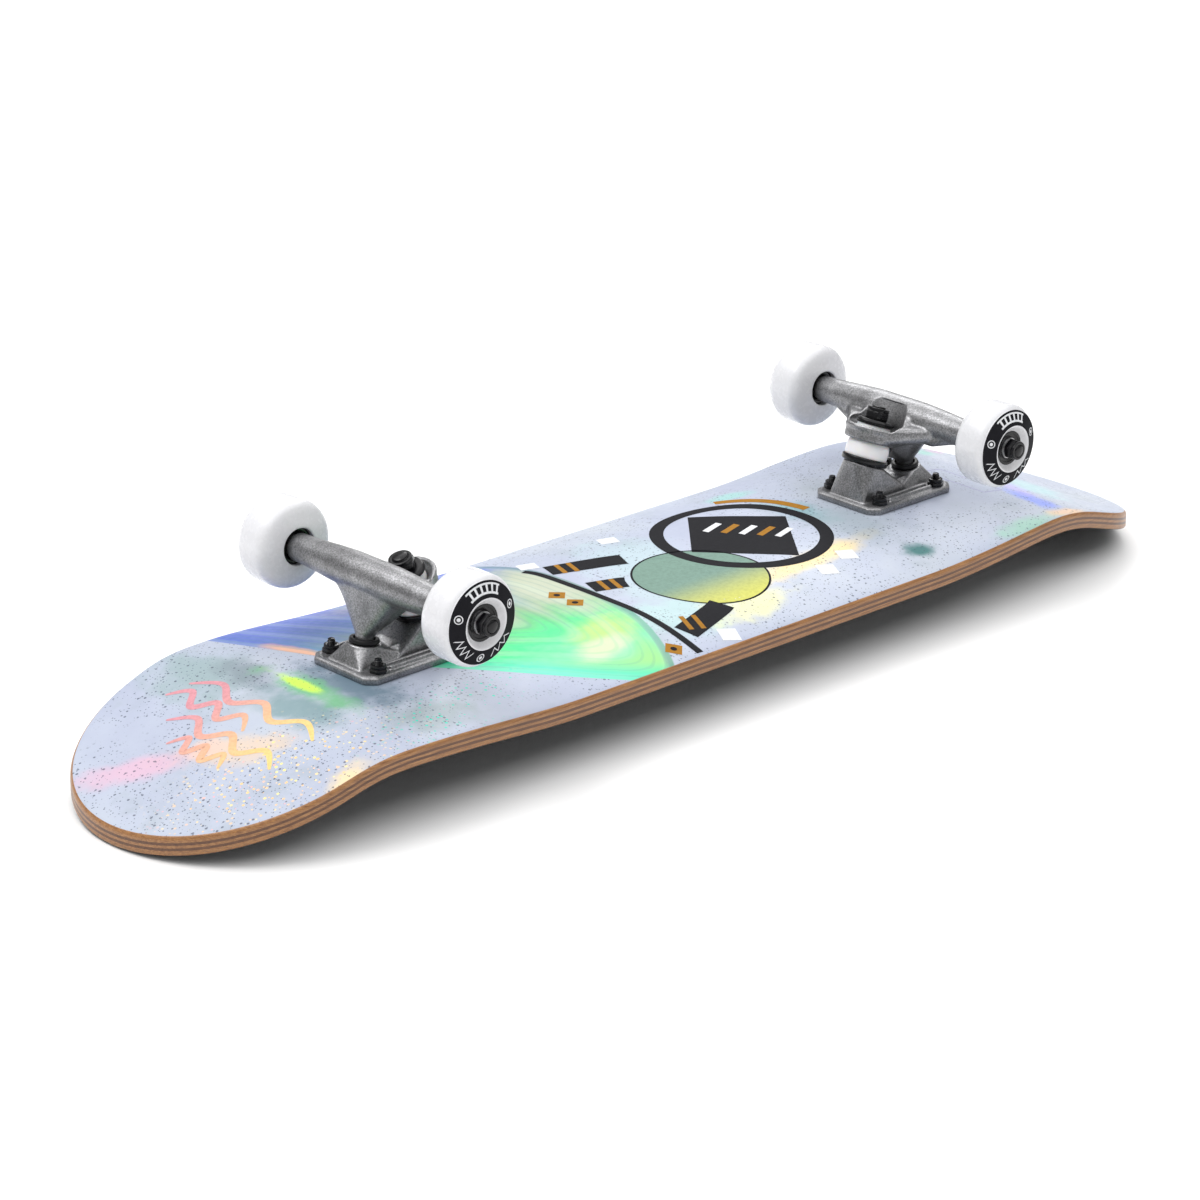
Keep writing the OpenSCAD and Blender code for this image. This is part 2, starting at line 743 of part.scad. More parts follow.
at_wheel(TAIL, RIGHT) wheel();  // tail_right_wheel
at_wheel(TAIL, RIGHT) outer_races();  // tail_right_outer_races
at_wheel(TAIL, RIGHT) bearing_balls();  // tail_right_bearing_balls
at_wheel(TAIL, RIGHT) inner_races();  // tail_right_inner_races
at_wheel(TAIL, RIGHT) bearing_spacer();  // tail_right_bearing_spacer
at_wheel(TAIL, RIGHT) axle_nut();  // tail_right_axle_nut
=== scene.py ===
"""The looks of a skateboard that lies deck down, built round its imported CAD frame.

Shapes are drawn in millimetres, in the board's frame or in a truck's own frame, and piece() turns
them into metres. A truck's own frame has x outward to the deck's tip and z up from the printed face.
"""
import json
from math import cos, hypot, pi, radians, sin, sqrt, tan

import bmesh
import bpy
from mathutils import Matrix, Vector


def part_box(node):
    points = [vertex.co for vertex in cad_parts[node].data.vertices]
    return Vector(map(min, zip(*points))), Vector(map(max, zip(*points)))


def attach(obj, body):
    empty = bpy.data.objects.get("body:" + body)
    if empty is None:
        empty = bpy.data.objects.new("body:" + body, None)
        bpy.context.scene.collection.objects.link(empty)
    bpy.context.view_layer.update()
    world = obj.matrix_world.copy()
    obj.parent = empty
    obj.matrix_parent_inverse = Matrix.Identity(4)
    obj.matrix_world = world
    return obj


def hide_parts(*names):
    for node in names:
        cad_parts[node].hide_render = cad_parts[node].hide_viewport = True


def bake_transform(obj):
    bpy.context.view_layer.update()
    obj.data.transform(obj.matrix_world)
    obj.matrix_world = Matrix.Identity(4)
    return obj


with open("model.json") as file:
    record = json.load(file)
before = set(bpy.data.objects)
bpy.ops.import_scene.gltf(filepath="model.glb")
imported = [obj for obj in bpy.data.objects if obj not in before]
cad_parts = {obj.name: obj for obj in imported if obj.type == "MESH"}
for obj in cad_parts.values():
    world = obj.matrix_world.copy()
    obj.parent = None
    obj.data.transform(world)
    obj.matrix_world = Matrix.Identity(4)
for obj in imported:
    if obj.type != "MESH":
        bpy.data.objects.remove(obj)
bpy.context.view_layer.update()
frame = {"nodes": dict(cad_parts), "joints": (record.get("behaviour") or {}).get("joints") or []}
joints = {joint["name"]: joint for joint in frame["joints"]}

MM = 0.001
ENDS = {"nose": 1, "tail": -1}
SIDES = {"left": -1, "right": 1}


# ---- sizes, from the frame where it has them ----

def box_mm(node):
    low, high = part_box(node)
    return low / MM, high / MM


film_low, film_high = box_mm("graphic_film")
TIP_X = {1: film_high.x, -1: -film_low.x}
HALF_W = film_high.y
SEAT_Z = film_high.z
base_boxes = {end: box_mm(end + "_baseplate") for end in ENDS}
TRUCK_X = {end: (low.x + high.x) / 2 for end, (low, high) in base_boxes.items()}
MIDDLE_X = (TRUCK_X["nose"] + TRUCK_X["tail"]) / 2

FILM_T = 0.25
PLY_T = 1.5
PLIES = 7
TAPE_T = 0.8
DECK_T = FILM_T + PLIES * PLY_T + TAPE_T
EDGE_ROUND = 2.4

# A truck's layout, in its own frame
KINGPIN_OUT, KINGPIN_H, KINGPIN_LEAN = -19.2, 28.1, 20.2
CUP_OUT, CUP_H, CUP_LEAN = 20.1, 12, 8
AXLE_OUT, AXLE_H = 12.1, 52.2
BOLT_X, BOLT_Y = 26.75, 20.65
HANGER_HALF = 68

# A wheel's section, z outward from its middle; the printed cone runs between two radii
WHEEL_R, SHOULDER_R = 27.0, 5
CONE_IN_R, CONE_IN_Z = 15.5, 14.7
CONE_OUT_R, CONE_OUT_Z = 24.6, 11.0


def turn(angle, axis):
    return Matrix.Rotation(radians(angle), 4, axis)


def shift(x=0, y=0, z=0):
    return Matrix.Translation((x, y, z))


KINGPIN = shift(KINGPIN_OUT, 0, KINGPIN_H) @ turn(KINGPIN_LEAN, "Y")
PIVOT = shift(CUP_OUT, 0, CUP_H) @ turn(-CUP_LEAN, "Y")
AXLE = shift(AXLE_OUT, 0, AXLE_H) @ turn(-90, "X")
BOLT_SPOTS = [shift(x * BOLT_X, y * BOLT_Y, 0) for x in (-1, 1) for y in (-1, 1)]


def at_truck(end):
    return shift(TRUCK_X[end], 0, SEAT_Z) @ turn(0 if ENDS[end] > 0 else 180, "Z")


def at_wheel(end, side):
    """z runs outward along the axle from the wheel's middle."""
    x, y, z = joints[f"{end}_{side}_wheel_spin"]["pos_m"]
    return shift(x / MM, y / MM, z / MM) @ turn(-90 * SIDES[side], "X")


# ---- materials ----

class Shader:
    """A material's nodes, added one after another. A value may be a number, a colour or a socket."""

    def __init__(self, name, colour, rough, metal=0.0, **more):
        self.material = bpy.data.materials.new(name)
        self.material.use_nodes = True
        self.tree = self.material.node_tree
        self.surface = self.tree.nodes["Principled BSDF"]
        self.surface.inputs["Base Color"].default_value = (*colour, 1)
        self.surface.inputs["Roughness"].default_value = rough
        self.surface.inputs["Metallic"].default_value = metal
        for socket, value in more.items():
            self.surface.inputs[socket.replace("_", " ")].default_value = value
        self.place = self.tree.nodes.new("ShaderNodeTexCoord").outputs["Object"]

    def link(self, value, socket):
        if isinstance(value, bpy.types.NodeSocket):
            self.tree.links.new(value, socket)
        elif value is not None:
            socket.default_value = value

    def math(self, operation, a, b=None, c=None):
        node = self.tree.nodes.new("ShaderNodeMath")
        node.operation = operation
        for value, socket in zip((a, b, c), node.inputs):
            self.link(value, socket)
        return node.outputs[0]

    def noise(self, scale, detail=3.0, rough=0.5, stretch=(1, 1, 1), warp=0.0):
        moved = self.tree.nodes.new("ShaderNodeMapping")
        moved.inputs["Scale"].default_value = stretch
        self.link(self.place, moved.inputs["Vector"])
        node = self.tree.nodes.new("ShaderNodeTexNoise")
        node.inputs["Scale"].default_value = scale
        node.inputs["Detail"].default_value = detail
        node.inputs["Roughness"].default_value = rough
        node.inputs["Distortion"].default_value = warp
        self.link(moved.outputs[0], node.inputs["Vector"])
        return node.outputs["Fac"]

    def ramp(self, value, *stops):
        node = self.tree.nodes.new("ShaderNodeValToRGB")
        ramp = node.color_ramp
        for i, (at, colour) in enumerate(stops):
            stop = ramp.elements[i] if i < 2 else ramp.elements.new(at)
            stop.position = at
            stop.color = (*colour, 1) if not isinstance(colour, (int, float)) else (colour,) * 3 + (1,)
        self.link(value, node.inputs["Fac"])
        return node.outputs["Color"]

    def steps(self, value, low, high, to_low=0.0, to_high=1.0):
        node = self.tree.nodes.new("ShaderNodeMapRange")
        node.interpolation_type = "SMOOTHSTEP"
        limits = {"From Min": low, "From Max": high, "To Min": to_low, "To Max": to_high}
        for name, number in limits.items():
            node.inputs[name].default_value = number
        self.link(value, node.inputs["Value"])
        return node.outputs[0]

    def mix(self, share, a, b, blend="MIX"):
        node = self.tree.nodes.new("ShaderNodeMix")
        node.data_type = "RGBA"
        node.blend_type = blend
        self.link(share, node.inputs[0])
        self.link((*a, 1) if isinstance(a, tuple) else a, node.inputs[6])
        self.link((*b, 1) if isinstance(b, tuple) else b, node.inputs[7])
        return node.outputs[2]

    def colour(self, value):
        self.link(value, self.surface.inputs["Base Color"])

    def rough(self, value):
        self.link(value, self.surface.inputs["Roughness"])

    def bump(self, height, strength, distance):
        node = self.tree.nodes.new("ShaderNodeBump")
        node.inputs["Strength"].default_value = strength
        node.inputs["Distance"].default_value = distance
        self.link(height, node.inputs["Height"])
        self.link(node.outputs[0], self.surface.inputs["Normal"])

    def painted_highlight_ridges(self):
        """Pointiness: white on edges that stick out, black in hollows. It places the highlights painted on
        ridges.
        """
        return self.tree.nodes.new("ShaderNodeNewGeometry").outputs["Pointiness"]


def cast_aluminium():
    s = Shader("cast_aluminium", (0.4, 0.4, 0.41), 0.42, 0.85)
    grain = s.noise(950, 4, 0.8)
    cloud = s.noise(60, 4, 0.6)
    # Painted highlight: ridges picked out by pointiness, made lighter and glossier.
    edges = s.steps(s.painted_highlight_ridges(), 0.52, 0.6)
    base = s.ramp(cloud, (0.3, (0.2, 0.2, 0.205)), (0.7, (0.34, 0.34, 0.35)))
    speck = s.ramp(grain, (0.38, 0.58), (0.5, 0.95), (0.62, 1.42))
    body = s.mix(1.0, base, speck, "MULTIPLY")
    # The ridges are mixed toward pale grey, a painted highlight.
    s.colour(s.mix(edges, body, (0.78, 0.78, 0.79)))
    s.rough(s.steps(edges, 0, 1, 0.38, 0.24))
    s.bump(grain, 0.5, 0.00018)
    return s.material


def black_steel():
    s = Shader("black_steel", (0.005, 0.005, 0.006), 0.22, Specular_IOR_Level=0.3)
    s.rough(s.steps(s.noise(900, 3), 0.3, 0.7, 0.12, 0.28))
    s.bump(s.noise(1500), 0.12, 0.00008)
    return s.material


def bright_steel():
    s = Shader("bright_steel", (0.5, 0.5, 0.51), 0.25, 1.0)
    s.rough(s.steps(s.noise(1200, 3, 0.5, (1, 1, 8)), 0.3, 0.7, 0.2, 0.4))
    return s.material


def black_rubber():
    s = Shader("black_rubber", (0.008, 0.008, 0.009), 0.4, Specular_IOR_Level=0.25)
    s.bump(s.noise(1800), 0.15, 0.00008)
    return s.material


def white_bushing():
    s = Shader("white_bushing", (0.84, 0.83, 0.83), 0.32, Subsurface_Weight=0.15, Subsurface_Scale=0.004)
    s.colour(s.ramp(s.noise(60, 3), (0.3, (0.78, 0.77, 0.77)), (0.7, (0.88, 0.87, 0.88))))
    s.bump(s.noise(900), 0.06, 0.0001)
    return s.material


def wheel_urethane():
    s = Shader("wheel_urethane", (0.74, 0.74, 0.76), 0.22, Coat_Weight=0.35, Coat_Roughness=0.12)
    s.colour(s.ramp(s.noise(40, 2), (0.3, (0.72, 0.72, 0.745)), (0.7, (0.75, 0.75, 0.77))))
    s.rough(s.steps(s.noise(300, 4), 0.3, 0.7, 0.2, 0.32))
    s.bump(s.noise(700, 2), 0.04, 0.0001)
    return s.material


def grip_grit():
    s = Shader("grip_tape", (0.012, 0.012, 0.013), 0.85)
    grit = s.noise(3200, 4, 0.75)
    s.colour(s.ramp(grit, (0.35, (0.006, 0.006, 0.007)), (0.68, (0.04, 0.04, 0.042))))
    s.bump(grit, 0.9, 0.0004)
    return s.material


def maple(name, light, dark):
    s = Shader(name, light, 0.42, Coat_Weight=0.2, Coat_Roughness=0.16)
    streak = s.noise(60, 5, 0.6, (1, 9, 26), warp=0.4)
    pore = s.noise(520, 3, 0.6, (1, 4, 10))
    wood = s.ramp(streak, (0.3, dark), (0.68, light))
    s.colour(s.mix(1.0, wood, s.ramp(pore, (0.34, 0.7), (0.56, 1.0)), "MULTIPLY"))
    s.bump(pore, 0.25, 0.0002)
    return s.material


class Artwork(Shader):
    """The printed film: soft clouds of colour on a pale foil. Lengths are millimetres on the deck."""

    def __init__(self, name):
        super().__init__(name, (0.6, 0.62, 0.74), 0.36, Specular_IOR_Level=0.12)
        split = self.tree.nodes.new("ShaderNodeSeparateXYZ")
        self.link(self.place, split.inputs[0])
        self.x = self.math("DIVIDE", split.outputs[0], MM)
        self.y = self.math("DIVIDE", split.outputs[1], MM)

    def distance(self, x, y, wide=1.0, high=1.0, lean=0.0):
        """How far a point lies from x, y, counted in an ellipse's own half axes."""
        dx = self.math("SUBTRACT", self.x, x)
        dy = self.math("SUBTRACT", self.y, y)
        c, s = cos(radians(lean)), sin(radians(lean))
        u = self.math("ADD", self.math("MULTIPLY", dx, c / wide), self.math("MULTIPLY", dy, s / wide))
        v = self.math("SUBTRACT", self.math("MULTIPLY", dy, c / high), self.math("MULTIPLY", dx, s / high))
        return self.math("SQRT", self.math("ADD", self.math("POWER", u, 2), self.math("POWER", v, 2)))

    def cloud(self, x, y, wide, high, lean=0.0, ragged=0.8, strength=1.0):
        """A soft-edged patch, torn up by noise."""
        far = self.distance(x, y, wide, high, lean)
        torn = self.math("MULTIPLY", self.math("SUBTRACT", self.noise(45, 4, 0.6), 0.5), 2 * ragged)
        return self.steps(self.math("ADD", far, torn), 1.15, 0.3, 0.0, strength)

    def specks(self, spacing, size, share, seed):
        """Scattered droplets: share of the cells that hold one."""
        moved = self.tree.nodes.new("ShaderNodeMapping")
        moved.inputs["Location"].default_value = (seed, seed * 2, 0)
        self.link(self.place, moved.inputs["Vector"])
        cells = self.tree.nodes.new("ShaderNodeTexVoronoi")
        cells.voronoi_dimensions = "2D"
        cells.inputs["Scale"].default_value = 1 / (spacing * MM)
        self.link(moved.outputs[0], cells.inputs["Vector"])
        split = self.tree.nodes.new("ShaderNodeSeparateColor")
        self.link(cells.outputs["Color"], split.inputs[0])
        held = self.math("LESS_THAN", split.outputs[0], share)
        grown = self.math("MULTIPLY", split.outputs[1], size / spacing)
        dot = self.math("LESS_THAN", cells.outputs["Distance"], grown)
        return self.math("MULTIPLY", dot, held), split.outputs[2]


def printed_film():
    """Pale foil with specks, a great swirl between rail and tail truck, and clouds of colour. The swirl's
    colours are print with the foil's holographic rainbow painted in as fixed colours.
    """
    s = Artwork("printed_film")
    pale = s.ramp(s.noise(9, 5, 0.6), (0.3, (0.38, 0.41, 0.53)), (0.55, (0.45, 0.49, 0.59)),
                  (0.75, (0.5, 0.54, 0.6)))
    fog = s.noise(26, 5, 0.65)
    pale = s.mix(s.steps(fog, 0.5, 0.72, 0, 0.5), pale, (0.34, 0.39, 0.44))
    art = pale
    clouds = (
        ((0.8, 0.4, 0.52), (-368, 22, 54, 13, -40), 0.5),
        ((0.85, 0.58, 0.32), (-332, -12, 40, 16, -50), 0.5),
        ((0.9, 0.68, 0.35), (-318, -98, 26, 12, 20), 0.8),
        ((0.1, 0.17, 0.22), (-246, -14, 30, 44, 0), 0.85),
        ((0.14, 0.26, 0.27), (-284, -18, 18, 44, 0), 0.7),
        ((0.26, 0.36, 0.36), (-292, 62, 34, 42, 0), 0.75),
        ((0.2, 0.24, 0.28), (-276, 40, 16, 30, 0), 0.6),
        ((0.16, 0.5, 0.2), (-266, -6, 12, 46, 0, 1.0), 0.7),
        ((0.6, 0.9, 0.1), (-266, 8, 5, 26, 0, 0.9), 0.9),
        ((0.26, 0.33, 0.33), (-236, -76, 40, 22, 0), 0.6),
        ((0.36, 0.66, 0.56), (-30, -60, 50, 30, 0), 0.4),
        ((0.4, 0.62, 0.6), (10, 20, 40, 50, 0), 0.35),
        ((0.45, 0.62, 0.62), (-22, -28, 22, 30, 0), 0.4),
        ((0.95, 0.7, 0.25), (80, -52, 80, 12, 6), 0.7),
        ((0.9, 0.85, 0.3), (20, -74, 40, 14, 10), 0.6),
        ((0.03, 0.16, 0.15), (162, -78, 14, 10, 0), 0.9),
        ((0.1, 0.36, 0.36), (150, 12, 16, 34, 10), 0.6),
        ((0.3, 0.36, 0.4), (155, -20, 26, 44, 0), 0.65),
        ((0.25, 0.66, 0.55), (138, 66, 22, 10, 0), 0.5),
        ((0.12, 0.6, 0.45), (336, 70, 30, 8, 32), 0.5),
        ((0.75, 0.36, 0.6), (354, 80, 26, 8, 30), 0.5),
        ((0.22, 0.3, 0.86), (290, -62, 12, 34, -8), 0.75),
        ((0.5, 0.4, 0.86), (306, -30, 12, 40, -20), 0.5),
        ((0.35, 0.72, 0.7), (330, -30, 24, 40, -30), 0.4),
        ((0.25, 0.62, 0.4), (250, -94, 34, 10, 0), 0.55),
        ((0.95, 0.6, 0.3), (290, -92, 24, 8, 0), 0.6),
        ((0.4, 0.44, 0.52), (222, -60, 50, 20, 0), 0.45),
    )
    for colour, place, strength in clouds:
        art = s.mix(s.cloud(*place, strength=strength), art, colour)

    # The swirl lies inside two big arcs; depth counts millimetres in from their edge
    wobble = s.math("MULTIPLY", s.math("SUBTRACT", s.noise(14, 3), 0.5), 10)
    left = s.math("SUBTRACT", 316, s.distance(45, 174))
    right = s.math("SUBTRACT", 234, s.distance(-276, 12))
    inside = s.math("SMOOTH_MIN", left, right, 26)
    crisp = s.steps(inside, 1.5, 2.7)
    depth = s.math("ADD", inside, wobble)
    bands = s.math("SINE", s.math("MULTIPLY", depth, 0.3))
    fine = s.math("SINE", s.math("MULTIPLY", depth, 1.1))
    across = s.math("ADD", s.y, s.math("MULTIPLY", bands, 7))
    # The swirl's bands are print, and their colours also hold the foil's holographic rainbow as a painted
    # reflection.
    along = s.ramp(
        s.steps(across, -104, 104), (0.0, (0.3, 0.66, 0.22)), (0.08, (0.18, 0.74, 0.34)),
        (0.2, (0.04, 0.72, 0.24)), (0.4, (0.13, 0.5, 0.2)), (0.52, (0.26, 0.4, 0.24)),
        (0.66, (0.26, 0.35, 0.32)), (0.84, (0.15, 0.23, 0.48)), (1.0, (0.15, 0.2, 0.6)))
    rim = s.ramp(s.steps(s.y, -102, 102), (0.05, (0.03, 0.7, 0.5)), (0.35, (0.03, 0.5, 0.32)),
                 (0.62, (0.12, 0.4, 0.52)), (0.95, (0.1, 0.16, 0.5)))
    swirl = s.mix(s.steps(left, 24, 4, 0, 0.8), along, rim)
    swirl = s.mix(s.cloud(-64, 26, 30, 66, 0, 0.5), swirl, (0.46, 0.5, 0.38))
    swirl = s.mix(s.cloud(-84, -50, 30, 20, 10, 0.4), swirl, (0.4, 0.78, 0.18))
    # A pale patch here is a painted highlight on the foil.
    swirl = s.mix(s.cloud(-98, -66, 26, 12, 10, 0.4), swirl, (0.55, 0.82, 0.4))
    swirl = s.mix(s.cloud(-238, 42, 7, 28, 18, 0.5), swirl, (0.8, 0.4, 0.26))
    swirl = s.mix(s.cloud(-150, 84, 40, 20, 0, 0.5, strength=0.6), swirl, (0.3, 0.28, 0.3))
    swirl = s.mix(s.steps(bands, 0.1, 1.0, 0, 0.16), swirl, (0.6, 0.74, 0.62))
    swirl = s.mix(s.steps(fine, 0.3, 1.0, 0, 0.22), swirl, (0.1, 0.26, 0.26))
    swirl = s.mix(s.steps(right, 9, 4.5, 0, 0.7), swirl, (0.12, 0.22, 0.26))
    art = s.mix(crisp, art, swirl)

    dark_dots, _ = s.specks(3.6, 0.85, 0.5, 0.3)
    small_dots, _ = s.specks(2.0, 0.48, 0.36, 0.7)
    thin_out = s.steps(s.noise(16, 3), 0.36, 0.52)
    dark = s.math("MULTIPLY", s.math("MAXIMUM", dark_dots, small_dots), thin_out)
    outside = s.steps(crisp, 0, 1, 0.75, 0.05)
    art = s.mix(s.math("MULTIPLY", dark, outside), art, (0.07, 0.08, 0.12))
    bright_dots, hue = s.specks(3.2, 1.0, 0.5, 1.9)
    rainbow = s.ramp(hue, (0.0, (0.95, 0.35, 0.4)), (0.35, (1.0, 0.85, 0.3)), (0.7, (0.95, 0.6, 0.25)))
    near_tail = s.cloud(-330, -56, 84, 46, -20, 0.6)
    art = s.mix(s.math("MULTIPLY", bright_dots, near_tail), art, rainbow)
    mint_dots, _ = s.specks(3.8, 0.95, 0.5, 4.1)
    art = s.mix(s.math("MULTIPLY", mint_dots, s.cloud(-220, -74, 80, 26, 10, 0.6)), art, (0.05, 0.6, 0.45))
    s.colour(art)
    s.rough(s.steps(s.noise(240, 4), 0.3, 0.7, 0.28, 0.42))
    s.bump(s.noise(900, 3), 0.05, 0.0001)
    return s.material


def ink(name, colour, second=None, low=0.0, high=1.0):
    """Screen-printed ink, running from one colour to a second between two heights across the deck."""
    s = Shader(name, colour, 0.5, Specular_IOR_Level=0.02)
    mottle = s.ramp(s.noise(420, 4, 0.7), (0.3, 0.82), (0.6, 1.0))
    base = colour
    if second:
        split = s.tree.nodes.new("ShaderNodeSeparateXYZ")
        s.link(s.place, split.inputs[0])
        base = s.mix(s.steps(split.outputs[1], low * MM, high * MM), colour, second)
    s.colour(s.mix(1.0, base, mottle, "MULTIPLY"))
    s.bump(s.noise(700), 0.05, 0.0001)
    return s.material


MAPLE = {
    "maple": maple("maple", (0.46, 0.22, 0.075), (0.2, 0.08, 0.026)),
    "maple_dark": maple("maple_dark", (0.17, 0.068, 0.026), (0.07, 0.027, 0.011)),
}
FILM = printed_film()
TAPE = grip_grit()
CAST = cast_aluminium()
BLACK = black_steel()
STEEL = bright_steel()
RUBBER = black_rubber()
BUSHING = white_bushing()
URETHANE = wheel_urethane()
INKS = {
    "black": ink("ink_black", (0.016, 0.016, 0.019)),
    "white": ink("ink_white", (0.75, 0.76, 0.78)),
    "ochre": ink("ink_ochre", (0.36, 0.17, 0.025)),
    "sage": ink("ink_sage", (0.6, 0.6, 0.15), (0.2, 0.31, 0.26), -66, -26),
    "brush": ink("ink_brush", (0.9, 0.62, 0.24), (0.66, 0.3, 0.34), -50, 44),
    "violet": ink("ink_violet", (0.42, 0.42, 0.6)),
}


# ---- making pieces ----

def piece(name, bm, materials, body, slot_name, replaced=(), place=None, sharp=32, rides=True):
    """Turns a bmesh in millimetres into a finished piece that moves with a CAD body."""
    if place is not None:
        bm.transform(place)
    bm.transform(Matrix.Scale(MM, 4))
    mesh = bpy.data.meshes.new(name)
    bm.to_mesh(mesh)
    bm.free()
    mesh.polygons.foreach_set("use_smooth", [True] * len(mesh.polygons))
    mesh.set_sharp_from_angle(angle=radians(sharp))
    for material in materials if isinstance(materials, (list, tuple)) else (materials,):
        mesh.materials.append(material)
    obj = bpy.data.objects.new(name, mesh)
    bpy.context.scene.collection.objects.link(obj)
    if rides:
        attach(obj, body)
    if replaced:
        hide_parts(*replaced)
    return obj


def mend(bm):
    """Merges doubled points and turns the faces outward."""
    bmesh.ops.remove_doubles(bm, verts=bm.verts, dist=0.001)
    bmesh.ops.dissolve_degenerate(bm, edges=bm.edges, dist=0.001)
    bmesh.ops.recalc_face_normals(bm, faces=bm.faces)
    return bm


def soften(bm, width, segments=2, over=30):
    """Rounds every edge that turns more than an angle."""
    sharp = [e for e in bm.edges if len(e.link_faces) == 2 and e.calc_face_angle(0) > radians(over)]
    bmesh.ops.bevel(bm, geom=sharp, offset=width, segments=segments, profile=0.5,
                    affect="EDGES", material=-1, clamp_overlap=True)
    return bm


def turned(profile, steps=64, width=0.0, segments=2):
    """A shape turned about z from (radius, height) points."""
    bm = bmesh.new()
    points = [bm.verts.new((r, 0, z)) for r, z in profile]
    edges = [bm.edges.new(pair) for pair in zip(points, points[1:] + points[:1])
             if pair[0].co.x > 1e-6 or pair[1].co.x > 1e-6]
    bmesh.ops.spin(bm, geom=points + edges, axis=(0, 0, 1), cent=(0, 0, 0), angle=2 * pi,
                   steps=steps, use_merge=True)
    mend(bm)
    return soften(bm, width, segments) if width else bm


def block(size, place=Matrix(), width=0.0):
    bm = bmesh.new()
    bmesh.ops.create_cube(bm, size=1, matrix=place @ Matrix.Diagonal((*size, 1)))
    return soften(bm, width) if width else bm


def rod(r, low, high, place=Matrix(), top_r=None, sides=48):
    bm = bmesh.new()
    bmesh.ops.create_cone(bm, cap_ends=True, segments=sides, radius1=r,
                          radius2=r if top_r is None else top_r, depth=high - low,
                          matrix=place @ shift(0, 0, (low + high) / 2))
    return bm


def joined(*parts):
    """Several bmeshes in one."""
    whole = bmesh.new()
    for part in parts:
        mesh = bpy.data.meshes.new("part")
        part.to_mesh(mesh)
        whole.from_mesh(mesh)
        part.free()
        bpy.data.meshes.remove(mesh)
    return whole


def placed(bm, place):
    bm.transform(place)
    return bm


def hull_of(*parts):
    """The tight skin round several shapes."""
    bm = joined(*parts)
    found = bmesh.ops.convex_hull(bm, input=bm.verts)
    loose = [g for g in found["geom_interior"] + found["geom_unused"] if isinstance(g, bmesh.types.BMVert)]
    bmesh.ops.delete(bm, geom=list(set(loose)), context="VERTS")
    return mend(bm)


def drawn(across, along, shape, material=0):
    """A grid, its points moved to shape(u, v) for u and v from 0 to 1."""
    bm = bmesh.new()
    bmesh.ops.create_grid(bm, x_segments=across, y_segments=along, size=0.5)
    for v in bm.verts:
        v.co = shape(v.co.x + 0.5, v.co.y + 0.5)
    for f in bm.faces:
        f.material_index = material
    return bm


def shown(bm, name):
    mesh = bpy.data.meshes.new(name)
    bm.to_mesh(mesh)
    bm.free()
    obj = bpy.data.objects.new(name, mesh)
    bpy.context.scene.collection.objects.link(obj)
    return obj


def finished(obj):
    """The object's shape with its modifiers worked in; the object itself goes."""
    depsgraph = bpy.context.evaluated_depsgraph_get()
    mesh = bpy.data.meshes.new_from_object(obj.evaluated_get(depsgraph))
    result = bmesh.new()
    result.from_mesh(mesh)
    bpy.data.objects.remove(obj)
    return result


def carved(bm, cuts):
    """A shape with others cut out of it."""
    obj = shown(bm, "stock")
    cutters = [shown(cut, "cutter") for cut in cuts]
    for cutter in cutters:
        cut = obj.modifiers.new("cut", "BOOLEAN")
        cut.operation = "DIFFERENCE"
        cut.solver = "EXACT"
        cut.object = cutter
    result = finished(obj)
    for cutter in cutters:
        bpy.data.objects.remove(cutter)
    return result


def skinned(bm, voxel, rounds):
    """One rounded skin round overlapping shapes, as a casting has."""
    obj = shown(bm, "skin")
    wrap = obj.modifiers.new("wrap", "REMESH")
    wrap.mode = "VOXEL"
    wrap.voxel_size = voxel
    even = obj.modifiers.new("even", "SMOOTH")
    even.factor = 0.5
    even.iterations = rounds
    return finished(obj)


def cast(bm, voxel, rounds, cuts):
    """A rounded casting, machined, and lightly rounded again."""
    return skinned(carved(skinned(bm, voxel, rounds), cuts), voxel * 0.8, 3)


# ---- deck ----

class End:
    """One end of the deck, from the middle between the trucks to its tip."""

    def __init__(self, sign, bend_at, bend_r, angle, taper_r, taper, corner_r, corner):
        self.length = TIP_X[sign] - sign * MIDDLE_X
        self.bend_at, self.bend_r, self.angle = bend_at, bend_r, radians(angle)
        self.bend_end = bend_at + bend_r * sin(self.angle)
        first, second = radians(taper), radians(taper + corner)
        p1 = Vector((taper_r * sin(first), HALF_W - taper_r * (1 - cos(first))))
        c2 = p1 - corner_r * Vector((sin(first), cos(first)))
        p2 = c2 + corner_r * Vector((sin(second), cos(second)))
        tip_r = p2.y / cos(second)
        tip_c = p2.x - tip_r * sin(second)
        rail = self.length - tip_c - tip_r
        self.arcs = ((rail + p1.x, rail, HALF_W - taper_r, taper_r),
                     (rail + p2.x, rail + c2.x, c2.y, corner_r),
                     (self.length + 1, rail + tip_c, 0, tip_r))
        self.rail = rail

    def half_width(self, x):
        if x <= self.rail:
            return HALF_W
        for end, cx, cy, r in self.arcs:
            if x <= end:
                return cy + sqrt(max(r * r - (x - cx) ** 2, 0))
        return 0.0

    def drop(self, x):
        if x <= self.bend_at:
            return 0.0
        if x <= self.bend_end:
            return self.bend_r - sqrt(self.bend_r ** 2 - (x - self.bend_at) ** 2)
        return self.bend_r * (1 - cos(self.angle)) + (x - self.bend_end) * tan(self.angle)


NOSE = End(1, 236, 246, 17.9, 930, 8.2, 82, 37.7)
TAIL = End(-1, 255, 202, 18.1, 805, 6.4, 102, 31.6)
CONCAVE_FLAT = 31
CONCAVE_MID, CONCAVE_KICK = 10.3, 4.6


def smooth(t):
    t = min(max(t, 0.0), 1.0)
    return t * t * (3 - 2 * t)


def deck_end(x):
    return (NOSE, x - MIDDLE_X) if x >= MIDDLE_X else (TAIL, MIDDLE_X - x)


